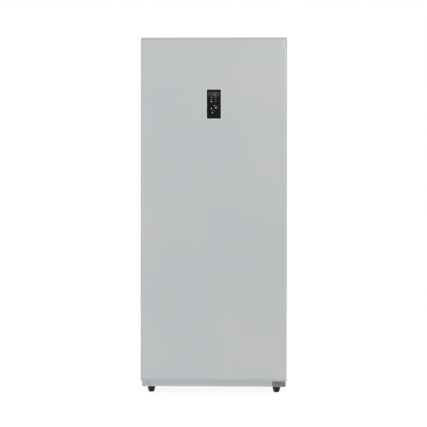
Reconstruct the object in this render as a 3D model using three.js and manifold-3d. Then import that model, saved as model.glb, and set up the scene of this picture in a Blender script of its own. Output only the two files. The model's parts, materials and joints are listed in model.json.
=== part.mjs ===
// Upright freezer with one door, hung on its right side.
// Millimetres: X runs to the right, Y to the back and Z up.
// The origin is on the floor, in the middle of the whole outline.

import * as THREE from 'three';
import { mergeVertices } from 'three/addons/utils/BufferGeometryUtils.js';
import Module from 'manifold-3d';

// ---------- the whole freezer ----------

const WIDTH = 711; // cabinet and door
const HEIGHT = 1740; // floor to the top of the door
const DEPTH = 720; // face of the door to the back of the wall spacers
const CLEAR = 0.3; // gap between pieces that touch
const RUNNING = 0.5; // gap round a shaft, all round
const PAST = 5; // how far a cut runs past the face that it opens
const FLUSH = 0.01; // the same, where the cut ends in the plane of a rim
const SMALL_ROUND = 2; // radius of folded sheet and of moulded corners

// ---------- cabinet ----------

const WRAP_SHEET = 1;
const WRAP_CORNER = 8; // outer radius where the side turns into the top
const WRAP_FLANGE = 44; // painted face that the gasket closes on
const SIDE_HEM = 12; // fold under each side
const FLOOR_GAP = 31; // floor to the underside of the cabinet
const DOOR_RISE = 20; // door top above cabinet top
const BACK_SHEET = 0.8;
const BEAD_COUNT = 4; // upright beads that stiffen the back
const BEAD_DEPTH = 3;
const BEAD_WIDTH = 26;
const SPACER_REACH = 15; // wall spacers behind the cabinet's back
const SPACER_WIDTH = 44;
const SPACER_HEIGHT = 60;
const SPACER_FLANGE = 3;
const SPACER_TIP_WIDTH = 26;
const SPACER_TIP_HEIGHT = 40;
const SPACER_DROP = 90; // middle of a spacer below the cabinet's top
const SPACER_CORNER = 10;
const SPACER_TIP_CORNER = 8;
const SIDE_WALL = 58; // outside of the cabinet to the inside of the liner
const TOP_WALL = 58;
const BACK_WALL = 65;
const LINER_SHEET = 2;
const LINER_CORNER = 26;
const LINER_FLOOR = 130;
const LINER_LIP = 14; // liner edge that shows round the opening
const LIP_CORNER = 4;
const DRAIN_SETBACK = 42; // drain in front of the liner's back
const DRAIN_RADIUS = 9;
const DRAIN_BORE = 6.5;
const DRAIN_FUNNEL = 14;
const DRAIN_FUNNEL_RISE = 7;
const DRAIN_FUNNEL_START = 1; // where the funnel opens, above the step
const DRAIN_FUNNEL_SLOPE = 2;
const DRAIN_RIM = 1.5;
const DRAIN_DIP = 12; // tube's end inside the pan
const RAIL_SHEET = 1.5;
const RAIL_LIP = 22;
const RAIL_LAP = 26; // upper strip of the rail behind the front of the insulation
const RAIL_FOLD = 3;
const FOOT_PLATE_HALF = 24; // plate under the rail that holds a foot
const FOOT_PLATE_BACK = 20; // its edge behind the foot's centre
const FOOT_PLATE_START = 4; // its edge behind the face of the rail
const FOOT_PLATE_SHEET = 3;
const FOOT_PLATE_CORNER = 8;

// ---------- machine compartment ----------

const MACHINE_HEIGHT = 275; // top of the compartment, above the floor
const MACHINE_DEPTH = 270; // its depth, in front of the cabinet's back
const MACHINE_ROOF = 55; // insulation between the compartment and the liner
const PAN_SHEET = 1;
const PAN_HEIGHT = 60; // floor to the pan under the insulation
const PAN_BEND = 4;
const DECK_HEIGHT = 38;
const DECK_SHEET = 2;
const DECK_FLANGE = 14;
const DECK_BEND = 4;
const EAR_SHEET = 3; // ears of the deck that carry the rollers
const EAR_ROOT = 22; // half width of an ear at the deck
const EAR_TIP = 9; // half width at its end
const EAR_LOW = 6; // floor to the ear
const EAR_ROUND = 7;
const COVER_SHEET = 1.5;
const COVER_RISE = 4; // cover above the deck's underside
const COVER_CORNER = 5;
const LOUVRE_ROWS = 9;
const LOUVRE_COLUMNS = 2;
const LOUVRE_PITCH = 15;
const LOUVRE_LENGTH = 240;
const LOUVRE_HEIGHT = 6;
const LOUVRE_REACH = 5;
const LOUVRE_DROP = 1; // slots below the middle of the cover
const HOOD_ROOT = 2; // thickness of a hood at the cover
const HOOD_TIP = 1.5;
const HOOD_RISE = 0.5; // hood above the edges of its slot
const LOUVRE_LAP = 2; // hood past the slot, at each end
const LOUVRE_GAP = 28; // between columns
const GLAND_SIDE = 42; // cord gland from the cabinet's side
const GLAND_DROP = 32; // and below the top of the compartment
const GLAND_BORE = 4; // radius of the cord's hole
const GLAND_NECK = 8;
const GLAND_COLLAR = 11;
const GLAND_TAIL = 11; // sleeve behind the cover
const GLAND_NUT = 6; // nut in front of the cover
const GLAND_NUT_BEVEL = [1, 2]; // across and along
const GLAND_WAIST = 9;
const GLAND_TIP = 6.5;
const GLAND_TIP_LONG = 3;

// ---------- compressor ----------

const POT_LEFT = -205; // middle of the compressor from the middle of the freezer
const POT_LONG = 105; // half length
const POT_WIDE = 82; // half width
const POT_HEIGHT = 168;
const POT_LOW_SHELL = [[0.55, 0], [0.86, 14], [0.97, 34]]; // share of the half length, height above the feet
const POT_HIGH_SHELL = [[0.97, 56], [0.84, 22], [0.55, 5]]; // share of the half length, depth below the top
const POT_SEAM = 78; // welded seam above the feet
const SEAM_REACH = 5;
const SEAM_HALF = 3;
const POT_PLATE_LOW = 3; // base plate below and above the shell's underside
const POT_PLATE_HIGH = 4;
const POT_PLATE_LAP = 8; // past the shell's ends
const POT_PLATE_INSET = 2; // short of its sides
const POT_PLATE_CORNER = 16;
const POT_FOOT = 18; // rubber feet under the compressor
const POT_FOOT_RADIUS = 13;
const POT_FOOT_WAIST = 10;
const POT_FOOT_WAIST_RISE = 8;
const POT_FOOT_END = 8; // feet from the shell's ends
const POT_FOOT_SIDE = 16; // and from its sides
const RELAY_WIDTH = 60;
const RELAY_HEIGHT = 56;
const RELAY_REACH = 32;
const RELAY_BEVEL = 4;
const RELAY_BEVEL_DEPTH = 6;
const RELAY_RISE = 38; // middle of the relay above the compressor's feet
const RELAY_CORNER = 8;
const RELAY_LID_CORNER = 7;
const DRIER_RADIUS = 10;
const DRIER_HALF = 52; // half length with its two necks
const DRIER_BODY = 34; // half length of the straight part
const DRIER_NECK = 3;
const DRIER_SHOULDER = 44;
const DRIER_INSET = 8; // its middle from the compressor's end
const DRIER_FOOT_LONG = 20;
const DRIER_FOOT_WIDE = 12;
const DRIER_FOOT_HIGH = 14;
const DRIER_SETBACK = 32; // behind the front of the deck
const DRIER_RISE = 20; // above the deck
const SUCTION_RISE = 60; // suction line above the compressor's feet
const SUCTION_CLIMB = 88;
const SUCTION_REACH = 22; // in front of the compressor
const SUCTION_GAP = 1; // pipe's end from the widest part of the shell
const SUCTION_OFFSET = 20; // to the right of the compressor's middle
const SUCTION_BEND = 12;
const PIPE = 4; // radius of the refrigerant pipes

// ---------- fans ----------

const FAN_BLADES = 5;
const FAN_HUB = 17;
const FAN_DEPTH = 18;
const FAN_SHAFT = 3;
const HUB_BEVEL = 3;
const BLADE_ROOT = 2; // blade inside the hub
const BLADE_ROOT_CHORD = 26;
const BLADE_TIP_CHORD = 42;
const BLADE_ROOT_PITCH = 38; // degrees
const BLADE_TIP_PITCH = 22;
const BLADE_CAMBER = 3;
const BLADE_HALF = 0.8; // half thickness
const BLADE_STEPS = 3; // faces along a blade's chord
const MOTOR_RADIUS = 16;
const MOTOR_GAP = 4; // fan to its motor
const MOTOR_LONG = 36;
const MOTOR_BEVEL = 3;
const SHAFT_COLLAR = 2;
const SHAFT_PAST = 2; // shaft in front of the hub
const WARM_FAN_X = 22;
const WARM_FAN_RISE = 88; // above the deck
const WARM_FAN_RADIUS = 62;
const SHROUD_SHEET = 3;
const SHROUD_LAP = 2; // ring inside the plate
const SHROUD_MARGIN = 14; // plate round the fan
const SHROUD_GAP = 4; // round the blades
const SHROUD_CORNER = 6;
const ARM_COUNT = 3; // arms that hold the motor
const ARM_HALF = 4;
const ARM_ROOT = 1; // arm from the motor, and from the clamp's ends
const POST_INSET = 0.2; // upright part of an arm inside the ring's wall
const CLAMP_WALL = 3;
const CLAMP_START = 5; // clamp behind the front of the motor
const CLAMP_LONG = 8;
const COLD_FAN_RADIUS = 52;
const COLD_FAN_RISE = 150; // fan centre above the coil
const COLD_FAN_GAP = 5; // behind the air duct's sheet

// ---------- coils ----------

const COIL_FOOT = 5; // end plates below the lowest pipe, and in front of the pipes
const PLATE_INSET = 14; // end plates from the bends
const COIL_SLACK = 0.2; // straight stretch left between two bends
const WARM_COIL_RUNS = 12;
const WARM_COIL_ROWS = 2;
const WARM_COIL_PITCH = 24;
const WARM_COIL_ROW_GAP = 26;
const WARM_COIL_SIDE = 44; // from the cabinet's side
const WARM_COIL_GAP = 34; // from the fan's blades
const WARM_COIL_HEAD = 12.7; // end plates above the highest pipe
const WARM_PLATE = 1.5;
const COLD_COIL_RUNS = 8;
const COLD_COIL_ROWS = 2;
const COLD_COIL_PITCH = 24;
const COLD_COIL_ROW_GAP = 30;
const COLD_COIL_HALF = 178;
const COLD_COIL_RISE = 70; // lowest pipe above the liner's step
const COLD_COIL_SETBACK = 32; // middle of the coil in front of the liner's back
const COLD_PLATE = 1.2;
const TAB_WIDTH = 6; // tabs that hold the coil to the liner
const TAB_HEIGHT = 10;
const TAB_DROP = 4;
const HEATER_RADIUS = 3.2;
const HEATER_INSET = 8;
const HEATER_HALF_GAP = 14;
const HEATER_TAIL = 26;
const HEATER_BEND = 10;
const DRAIN_PAN_WIDTH = 124;
const DRAIN_PAN_LENGTH = 140;
const DRAIN_PAN_HEIGHT = 34;
const DRAIN_PAN_WALL = 2;
const DRAIN_PAN_TAPER = 8; // at each side
const DRAIN_PAN_CORNER = 12;

// ---------- air duct and lamp ----------

const DUCT_WIDTH = 430;
const DUCT_DEPTH = 66;
const DUCT_SHEET = 2.5;
const DUCT_CORNER = 14;
const DUCT_LID_INSET = 1;
const DUCT_FOOT_GAP = 30; // above the liner's step
const DUCT_TOP_GAP = 28;
const DUCT_SLOTS_PER_SHELF = 2;
const DUCT_SLOT_HEIGHT = 7;
const DUCT_SLOT_WIDTH = 96;
const DUCT_SLOT_PITCH = 15.4;
const DUCT_SLOT_RISE = 120; // first slot above its shelf, less one pitch
const DUCT_SLOT_SPLIT = 12; // slots outside the middle of each half
const DUCT_SLOT_CORNER = 3;
const GRILLE_RINGS = [24, 40]; // radii of the slots in front of the fan
const GRILLE_ARCS = 4;
const GRILLE_STEPS = 3; // straight faces in each arc
const GRILLE_SLOT = 6;
const GRILLE_BRIDGE = 0.16; // radians left standing at each end of a slot
const LAMP_WIDTH = 140;
const LAMP_LENGTH = 48;
const LAMP_HEIGHT = 13;
const LAMP_RIM = 3;
const LAMP_TAPER = [10, 8]; // along and across
const LAMP_SETBACK = 60; // behind the shelves' front
const LAMP_CORNER = 10;
const LAMP_TIP_CORNER = 9;

// ---------- shelves and basket ----------

const SHELF_COUNT = 4;
const SHELF_LOW_ROOM = 230; // step of the liner to the lowest shelf
const SHELF_HIGH_ROOM = 337; // highest shelf to the liner's top
const SHELF_FRONT_GAP = 12; // behind the door bins
const SHELF_BACK_GAP = 8; // in front of the air duct
const SHELF_SLACK = 1.5; // at each side
const SHELF_TRIM = 14;
const SHELF_LEDGE = 7;
const SHELF_THICK = 11;
const SHELF_CORNER = 12;
const SHELF_GLASS = 4;
const GLASS_CORNER = 4;
const NOSE_DROP = 8;
const NOSE_DEPTH = 12;
const NOSE_ROUND = 5;
const NOSE_EDGE = 1;
const RIB_REACH = 11;
const RIB_THICK = 12;
const RIB_ROUND = 4;
const BASKET_HEIGHT = 168;
const BASKET_WALL = 3;
const BASKET_TAPER = 12;
const BASKET_CORNER = 26;
const BASKET_NARROWING = 6; // how much tighter the corner is at the bottom
const BASKET_WALL_ROUND = 2; // and inside
const BASKET_SLACK = 10;
const BASKET_RIM = 9;
const BASKET_RIM_THICK = 5;
const BASKET_GRIP_WIDTH = 140;
const BASKET_GRIP_HEIGHT = 22;
const BASKET_GRIP_DROP = 24;
const BASKET_GRIP_ROUND = 10;

// ---------- feet and rollers ----------

const FOOT_SIDE = 44.5; // centre from the cabinet's side
const FOOT_SETBACK = 32; // centre behind the cabinet's front
const FOOT_TOP_RADIUS = 18.5;
const FOOT_BASE_RADIUS = 14.5;
const FOOT_SIDES = 6;
const FOOT_HEIGHT = 30;
const FOOT_WAIST_LOW = 8; // where the foot starts to widen
const FOOT_WAIST_HIGH = 14;
const FOOT_BEVEL = 2;
const FOOT_FLARE = 0.5;
const FOOT_STEM = 5;
const STEM_ROOT = 4; // stem inside the foot
const STEM_TOP_GAP = 2; // under the pan
const ROLLER_RADIUS = 15;
const ROLLER_WIDTH = 20;
const ROLLER_SIDE = 60;
const ROLLER_BACK = 45;
const ROLLER_BEVEL = 2;
const AXLE_RADIUS = 4;
const AXLE_HEAD = 2; // head past the axle
const AXLE_HEAD_THICK = 2.2;
const AXLE_BEVEL = 1;
const AXLE_PAST = 1.5; // axle past the ears

// ---------- door ----------

const DOOR_THICKNESS = 66;
const DOOR_BOTTOM = 74; // floor to the underside of the door
const DOOR_ROLL = 12; // radius of the door's front edges
const DOOR_EDGE = 1; // radius of its back edges
const DOOR_SHEET = 1;
const DOOR_RETURN = 16; // fold at the back of the door's skin
const CAP_EDGE = 10; // cap that shows above and below the skin
const CAP_PLUG = 8; // cap inside the skin
const CAP_JOIN = 1; // how far the cap's parts run into each other
const HINGE_LEG_WIDTH = 12;
const HINGE_LEG_HEIGHT = 48;
const SEAL_GAP = 12; // closed gasket, door liner included
const SEAL_INSET = 24.5; // outer edge of the gasket from the door's side
const SEAL_WIDTH = 20;
const SEAL_TOP_INSET = 24; // below the cabinet's top
const SEAL_BOTTOM_INSET = 18; // above the door's bottom
const SEAL_CORNER = 14;
const SEAL_HOLE_CORNER = 4;
const SEAL_FOOT = 2.4; // thickness of the part that is pressed into the door
const SEAL_FOOT_INSET = 2;
const SEAL_NECK_INSET = 6;
const SEAL_HEAD = 3.6; // thickness of the part that holds the magnet
const SEAL_LAP = 0.3; // how far the gasket's parts run into each other
const PANEL_SHEET = 1.8;
const PANEL_CORNER = 4;
const PANEL_INSET = 2; // panel's edge inside the middle of the skin's fold
const PANEL_END = 1; // and its ends from the caps and the trim of the hinge
const DYKE_SIDE_GAP = 14; // door liner's ridge to the cabinet's liner
const DYKE_WIDTH = 24;
const DYKE_REACH = 46;
const DYKE_CORNER = 22;
const DYKE_HOLE_CORNER = 14;
const DYKE_BEVEL = 4;
const DYKE_BEVEL_RISE = 8;

// ---------- grip and display ----------

const GRIP_HEIGHT = 320;
const GRIP_RISE = 866; // underside of the door to the middle of the grip
const GRIP_DEPTH = 34;
const GRIP_MOUTH = 36;
const GRIP_SETBACK = 15; // mouth behind the face of the door
const GRIP_WALL = 2;
const GRIP_RIM = 5;
const GRIP_CORNER = 14;
const GRIP_FLOOR_CORNER = 12;
const GRIP_FRONT_SLOPE = 5; // how far the walls lean in on their way to the floor
const GRIP_BACK_SLOPE = 2;
const GRIP_END_SLOPE = 14;
const DISPLAY_WIDTH = 69;
const DISPLAY_HEIGHT = 142;
const DISPLAY_DROP = 323; // top of the door to the middle of the display
const DISPLAY_CORNER = 5;
const DISPLAY_GLASS = 2.2;
const DISPLAY_BEVEL = 0.8;
const DISPLAY_BEVEL_DEPTH = 0.6;
const DISPLAY_BOX = 14;
const DISPLAY_WALL = 1.6;

// ---------- hinges ----------

const PIVOT_SIDE = 20; // pivot line from the door's side
const PIVOT_FRONT = 38; // pivot line behind the face of the door
const HINGE_PIN = 5; // radius
const PIN_HEAD = 3; // head past the pin, and its height
const PIN_TIP = 1; // bevel at the pin's end
const PIN_TIP_LONG = 1.5;
const LOW_PIN_HEAD = 2;
const COLLAR_INSET = 0.5; // collar under the door, inside the bush
const HINGE_PLATE = 4;
const HINGE_ARM = 12; // half width
const HINGE_BUSH = 8.5;
const BUSH_WALL = 4;
const BUSH_ROOF = 5;
const HINGE_FRONT_ROOM = 29; // hollow of the top cap in front of the pivot
const HINGE_SIDE_ROOM = 16;
const HINGE_BOX_WALL = 4; // wall beside the hollow
const HINGE_WELL_CORNER = 10;
const HINGE_FLOOR_ROOM = 4;
const HINGE_DROP = 16; // pin into the cap
const TOP_ARM_LEFT = 44; // plate on the cabinet, from the pivot line
const TOP_ARM_RIGHT = 1; // right of the arm
const TOP_PLATE_LONG = 74; // behind the cabinet's front
const TOP_PLATE_CORNER = 6;
const ARM_SHOULDER = 6; // where the arm narrows, in front of the cabinet
const ARM_ROUND = 11.8; // corners of its end
const HINGE_COVER_WALL = 2;
const HINGE_COVER_LEFT = 48;
const HINGE_COVER_RIGHT = 4; // right of the arm
const HINGE_COVER_BACK = 6; // behind the plate
const HINGE_COVER_FRONT = 1; // behind the cabinet's front
const HINGE_COVER_CORNER = 8;
const HINGE_COVER_BEVEL = 4;
const HINGE_COVER_BEVEL_RISE = 5;
const HINGE_COVER_SLACK = 1.7; // below the top of the door
const HINGE_COVER_NOTCH = 1.5; // wall left beside the arm
const HINGE_COVER_NOTCH_DEPTH = 10;
const HINGE_COVER_NOTCH_ROOM = 1; // above the arm
const LOW_ARM_GAP = 4; // under the door
const LOW_ARM_REACH = 18; // arm's left end in front of the plate
const LOW_ARM_NOSE = 6; // arm's tip to the left of the bush
const LOW_ARM_ROUNDS = [0, 8, 10, 8, 0];
const LOW_PLATE_SIDE = 3; // from the door's side
const LOW_PLATE_WIDTH = 64;
const LOW_PLATE_HEIGHT = 39;
const LOW_PLATE_CORNER = 6;
const LOW_PLATE_FOLD = 1;

// ---------- door bins ----------

const BIN_COUNT = 4;
const BIN_LOW_ROOM = 85; // liner's floor to the lowest bin
const BIN_HIGH_ROOM = 412; // underside of the highest bin to the liner's top
const BIN_HEIGHT = 118;
const BIN_DEPTH = 98;
const BIN_WALL = 2.5;
const BIN_CORNER = 18;
const BIN_BACK_CORNER = 4;
const BIN_TAPER = 7;
const BIN_DIP = 34; // how far the middle of the front wall is cut down
const BIN_DIP_START = 30; // from the bin's side
const BIN_DIP_END = 64;
const BIN_DIP_ROUND = 12;
const BIN_DIP_PAST = 1; // above the rim, where the dip's slope starts
const LUG_REACH = 8;
const LUG_WIDTH = 14;
const LUG_HEIGHT = 30;
const LUG_SLOPE = 6;
const LUG_ROOT = 1; // lug inside the ridge's wall
const LUG_DROP = 34; // top of a lug below the rim of its bin
const LUG_SETBACK = 26; // from the door liner's panel
const HANGER_WALL = 4;
const HANGER_DROP = 20;
const HANGER_ROOT = 1.2; // hanger past the inside of the bin's wall

// ---------- places that follow from the sizes ----------

const HALF = WIDTH / 2;
const DOOR_FRONT = -DEPTH / 2;
const DOOR_BACK = DOOR_FRONT + DOOR_THICKNESS;
const CABINET_FRONT = DOOR_BACK + SEAL_GAP;
const CABINET_BACK = DEPTH / 2 - SPACER_REACH;
const CABINET_TOP = HEIGHT - DOOR_RISE;
const WRAP_INNER = HALF - WRAP_SHEET - CLEAR; // half width of what the wrap holds
const WRAP_CEILING = CABINET_TOP - WRAP_SHEET - CLEAR;
const MOUTH_HALF = HALF - WRAP_FLANGE - CLEAR; // half width of the cabinet's opening
const INNER_HALF = HALF - SIDE_WALL;
const INNER_TOP = CABINET_TOP - TOP_WALL;
const INNER_BACK = CABINET_BACK - BACK_WALL;
const MACHINE_FRONT = CABINET_BACK - MACHINE_DEPTH;
const STEP_TOP = MACHINE_HEIGHT + MACHINE_ROOF;
const STEP_FRONT = MACHINE_FRONT - MACHINE_ROOF;
const RAIL_TOP = LINER_FLOOR - LINER_LIP - CLEAR;
const DRAIN_Y = INNER_BACK - DRAIN_SETBACK;
const SPACER_X = HALF / 2;
const SPACER_Z = CABINET_TOP - SPACER_DROP;
const FOOT_X = HALF - FOOT_SIDE;
const FOOT_Y = CABINET_FRONT + FOOT_SETBACK;

const DECK_FRONT = MACHINE_FRONT + CLEAR;
const DECK_BACK = CABINET_BACK - COVER_SHEET - 2 * CLEAR;
const DECK_TOP = DECK_HEIGHT + DECK_SHEET;
const ROLLER_X = HALF - ROLLER_SIDE;
const ROLLER_Y = CABINET_BACK - ROLLER_BACK;
const POT_Y = (DECK_FRONT + DECK_BACK) / 2;
const POT_LOW = DECK_TOP + POT_FOOT;
const RELAY_FACE = POT_LEFT + POT_LONG - CLEAR;
const GLAND_X = -HALF + GLAND_SIDE;
const GLAND_Z = MACHINE_HEIGHT - GLAND_DROP;
const FAN_BORE = FAN_SHAFT + RUNNING;
const WARM_FAN = { x: WARM_FAN_X, y: POT_Y, z: DECK_TOP + WARM_FAN_RISE };
const MOTOR_START = FAN_DEPTH / 2 + MOTOR_GAP; // front of a motor, behind the middle of its fan
const SHROUD_FRONT = WARM_FAN.y - FAN_DEPTH / 2 - SHROUD_GAP;
const SHROUD_HALF = WARM_FAN_RADIUS + SHROUD_MARGIN;
const SHROUD_TOP = WARM_FAN.z + SHROUD_HALF;
const DRAIN_PAN_LOW = SHROUD_TOP + CLEAR;
const DRAIN_PAN_HIGH = SHROUD_TOP + DRAIN_PAN_HEIGHT;

const SKIN_BOTTOM = DOOR_BOTTOM + CAP_EDGE;
const SKIN_TOP = HEIGHT - CAP_EDGE;
const DOOR_INNER = DOOR_SHEET + CLEAR;
const LEG_LOW = HEIGHT - HINGE_LEG_HEIGHT;
const DISPLAY_CENTRE = HEIGHT - DISPLAY_DROP;
const DISPLAY_BACK = DOOR_FRONT + DISPLAY_GLASS + DISPLAY_BOX;
const GRIP_CENTRE = DOOR_BOTTOM + GRIP_RISE;
const GRIP_LOW = GRIP_CENTRE - GRIP_HEIGHT / 2;
const GRIP_HIGH = GRIP_CENTRE + GRIP_HEIGHT / 2;
const GRIP_FRONT = DOOR_FRONT + GRIP_SETBACK;
const GRIP_BACK = GRIP_FRONT + GRIP_MOUTH;
const PIVOT_X = HALF - PIVOT_SIDE;
const PIVOT_Y = DOOR_FRONT + PIVOT_FRONT;
const TOP_ARM_LOW = CABINET_TOP + CLEAR;
const TOP_ARM_HIGH = TOP_ARM_LOW + HINGE_PLATE;
const TOP_PLATE_BACK = CABINET_FRONT + TOP_PLATE_LONG;
const HINGE_WELL = TOP_ARM_LOW - HINGE_FLOOR_ROOM; // floor of the hollow in the top cap
const HINGE_BOX_LEFT = PIVOT_X - HINGE_SIDE_ROOM - HINGE_BOX_WALL;
const LOW_ARM_HIGH = DOOR_BOTTOM - LOW_ARM_GAP;
const LOW_ARM_LOW = LOW_ARM_HIGH - HINGE_PLATE;
const BUSH_TOP = DOOR_BOTTOM + HINGE_DROP + BUSH_ROOF;
const PANEL_BACK = DOOR_BACK + CLEAR + PANEL_SHEET;
const DYKE_HALF = INNER_HALF - DYKE_SIDE_GAP;
const DYKE_BOTTOM = LINER_FLOOR + DYKE_SIDE_GAP;
const DYKE_TOP = INNER_TOP - DYKE_SIDE_GAP;
const DYKE_INNER = DYKE_HALF - DYKE_WIDTH;
const BIN_HALF = DYKE_INNER - LUG_REACH - CLEAR;
const BIN_BACK = PANEL_BACK + CLEAR;
const BIN_FRONT = BIN_BACK + BIN_DEPTH;
const BIN_LEVELS = evenly(BIN_COUNT, LINER_FLOOR + BIN_LOW_ROOM, INNER_TOP - BIN_HIGH_ROOM);
const LUG_BACK = PANEL_BACK + LUG_SETBACK;

const DUCT_FRONT = INNER_BACK - DUCT_DEPTH;
const DUCT_LOW = STEP_TOP + DUCT_FOOT_GAP;
const DUCT_HIGH = INNER_TOP - DUCT_TOP_GAP;
const COLD_LOW = STEP_TOP + COLD_COIL_RISE;
const COLD_Y = INNER_BACK - COLD_COIL_SETBACK;
const COLD_HIGH = COLD_LOW + (COLD_COIL_RUNS / COLD_COIL_ROWS - 1) * COLD_COIL_PITCH + PIPE + COIL_FOOT;
const COLD_FAN = {
  x: 0,
  y: DUCT_FRONT + DUCT_SHEET + COLD_FAN_GAP + FAN_DEPTH / 2,
  z: COLD_HIGH + COLD_FAN_RISE,
};
const SHELF_LEVELS = evenly(SHELF_COUNT, STEP_TOP + SHELF_LOW_ROOM, INNER_TOP - SHELF_HIGH_ROOM);
const SHELF_FRONT = BIN_FRONT + SHELF_FRONT_GAP;
const SHELF_BACK = DUCT_FRONT - SHELF_BACK_GAP;
const SHELF_HALF = INNER_HALF - SHELF_SLACK;
const SHELF_EDGE = SHELF_FRONT + NOSE_DEPTH / 2; // front of the shelf's frame, inside its nose
const LAMP_Y = SHELF_FRONT + LAMP_SETBACK;
const BASKET_BACK = STEP_FRONT - BASKET_SLACK;
const BASKET_HALF = INNER_HALF - BASKET_SLACK;
const BASKET_LOW = LINER_FLOOR + CLEAR;
const BASKET_INNER_CORNER = BASKET_CORNER - BASKET_WALL_ROUND;

// places from the first to the last, at one pitch
function evenly(count, first, last) {
  return Array.from({ length: count }, (_, i) => first + (i * (last - first)) / (count - 1));
}

// ---------- shapes ----------

const wasm = await Module();
wasm.setup();

const AXIS_X = new THREE.Vector3(1, 0, 0);
const AXIS_Y = new THREE.Vector3(0, 1, 0);
const AXIS_Z = new THREE.Vector3(0, 0, 1);

// turns a shape that was drawn across Z: its own axes become (Y, Z, X), (X, Z, -Y) or (X, Y, Z)
const TURN = {
  x: new THREE.Matrix4().makeBasis(AXIS_Y, AXIS_Z, AXIS_X),
  y: new THREE.Matrix4().makeBasis(AXIS_X, AXIS_Z, AXIS_Y.clone().negate()),
  z: new THREE.Matrix4(),
};

function solidOf(geometry) {
  const bare = geometry.clone();
  bare.deleteAttribute('normal');
  bare.deleteAttribute('uv');
  const merged = mergeVertices(bare, 1e-3);
  const corners = merged.index.array;
  const kept = [];
  for (let i = 0; i < corners.length; i += 3) {
    const [a, b, c] = corners.slice(i, i + 3);
    if (a !== b && b !== c && c !== a) {
      kept.push(a, b, c);
    }
  }
  const vertProperties = new Float32Array(merged.attributes.position.array);
  const triVerts = new Uint32Array(kept);
  return new wasm.Manifold(new wasm.Mesh({ numProp: 3, vertProperties, triVerts }));
}

function geometryOf(solid) {
  const mesh = solid.getMesh();
  const geometry = new THREE.BufferGeometry();
  geometry.setAttribute('position', new THREE.BufferAttribute(new Float32Array(mesh.vertProperties), 3));
  geometry.setIndex(new THREE.BufferAttribute(new Uint32Array(mesh.triVerts), 1));
  geometry.computeVertexNormals();
  return geometry;
}

function placed(solid, matrix) {
  return solidOf(geometryOf(solid).applyMatrix4(matrix));
}

function joined(solids) {
  return solids.reduce((whole, next) => whole.add(next));
}

function without(solid, cuts) {
  return cuts.reduce((rest, cut) => rest.subtract(cut), solid);
}

// rounds the corners of a line of Vector3 points; radii is one radius or one for each point
function roundCorners(points, radii, closed, steps) {
  const rounded = [];
  points.forEach((corner, i) => {
    const radius = Array.isArray(radii) ? radii[i] : radii;
    const atEnd = !closed && (i === 0 || i === points.length - 1);
    if (atEnd || radius === 0) {
      rounded.push(corner.clone());
      return;
    }
    const before = points[(i + points.length - 1) % points.length];
    const after = points[(i + 1) % points.length];
    const back = before.clone().sub(corner).normalize();
    const ahead = after.clone().sub(corner).normalize();
    const half = back.angleTo(ahead) / 2;
    const centre = back.clone().add(ahead).normalize().multiplyScalar(radius / Math.sin(half)).add(corner);
    const start = back.clone().multiplyScalar(radius / Math.tan(half)).add(corner).sub(centre);
    const end = ahead.clone().multiplyScalar(radius / Math.tan(half)).add(corner).sub(centre);
    const sweep = Math.PI - 2 * half;
    for (let k = 0; k <= steps; k++) {
      const share = k / steps;
      const point = start.clone().multiplyScalar(Math.sin((1 - share) * sweep));
      point.add(end.clone().multiplyScalar(Math.sin(share * sweep)));
      rounded.push(point.divideScalar(Math.sin(sweep)).add(centre));
    }
  });
  return rounded;
}

function flat(points) {
  return points.map(([u, v]) => new THREE.Vector3(u, v, 0));
}

function outline(points, radii = 0, steps = 3) {
  return roundCorners(flat(points), radii, true, steps).map((p) => new THREE.Vector2(p.x, p.y));
}

function rectangle(u0, v0, u1, v1, radii = 0, steps = 3) {
  return outline([[u0, v0], [u1, v0], [u1, v1], [u0, v1]], radii, steps);
}

function circle(u, v, radius, sides = 16) {
  const points = [];
  for (let i = 0; i < sides; i++) {
    const angle = (2 * Math.PI * (i + 0.5)) / sides;
    points.push(new THREE.Vector2(u + radius * Math.cos(angle), v + radius * Math.sin(angle)));
  }
  return points;
}

// a bent sheet seen from its edge: the line is one face, and the sheet lies to its left
function bentSheet(corners, sheet, radii = 0, steps = 3) {
  const line = roundCorners(flat(corners), radii, false, steps);
  const inner = line.map((point, i) => {
    const before = line[Math.max(i - 1, 0)];
    const after = line[Math.min(i + 1, line.length - 1)];
    const into = (i === 0 ? after.clone().sub(point) : point.clone().sub(before)).normalize();
    const out = (i === line.length - 1 ? into.clone() : after.clone().sub(point)).normalize();
    const mitre = new THREE.Vector3(-into.y - out.y, into.x + out.x, 0).normalize();
    const stretch = mitre.x * -into.y + mitre.y * into.x;
    return point.clone().addScaledVector(mitre, sheet / stretch);
  });
  return [...line, ...inner.reverse()].map((p) => new THREE.Vector2(p.x, p.y));
}

// an outline pushed along an axis; across X it is drawn in (Y, Z), across Y in (X, Z), across Z in (X, Y)
function prism(axis, points, from, to, holes = []) {
  const shape = new THREE.Shape(points);
  holes.forEach((hole) => shape.holes.push(new THREE.Path(hole)));
  const geometry = new THREE.ExtrudeGeometry(shape, { depth: to - from, bevelEnabled: false });
  geometry.translate(0, 0, axis === 'y' ? -to : from);
  return solidOf(geometry.applyMatrix4(TURN[axis]));
}

function block(x0, x1, y0, y1, z0, z1) {
  const geometry = new THREE.BoxGeometry(x1 - x0, y1 - y0, z1 - z0);
  return solidOf(geometry.translate((x0 + x1) / 2, (y0 + y1) / 2, (z0 + z1) / 2));
}

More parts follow.
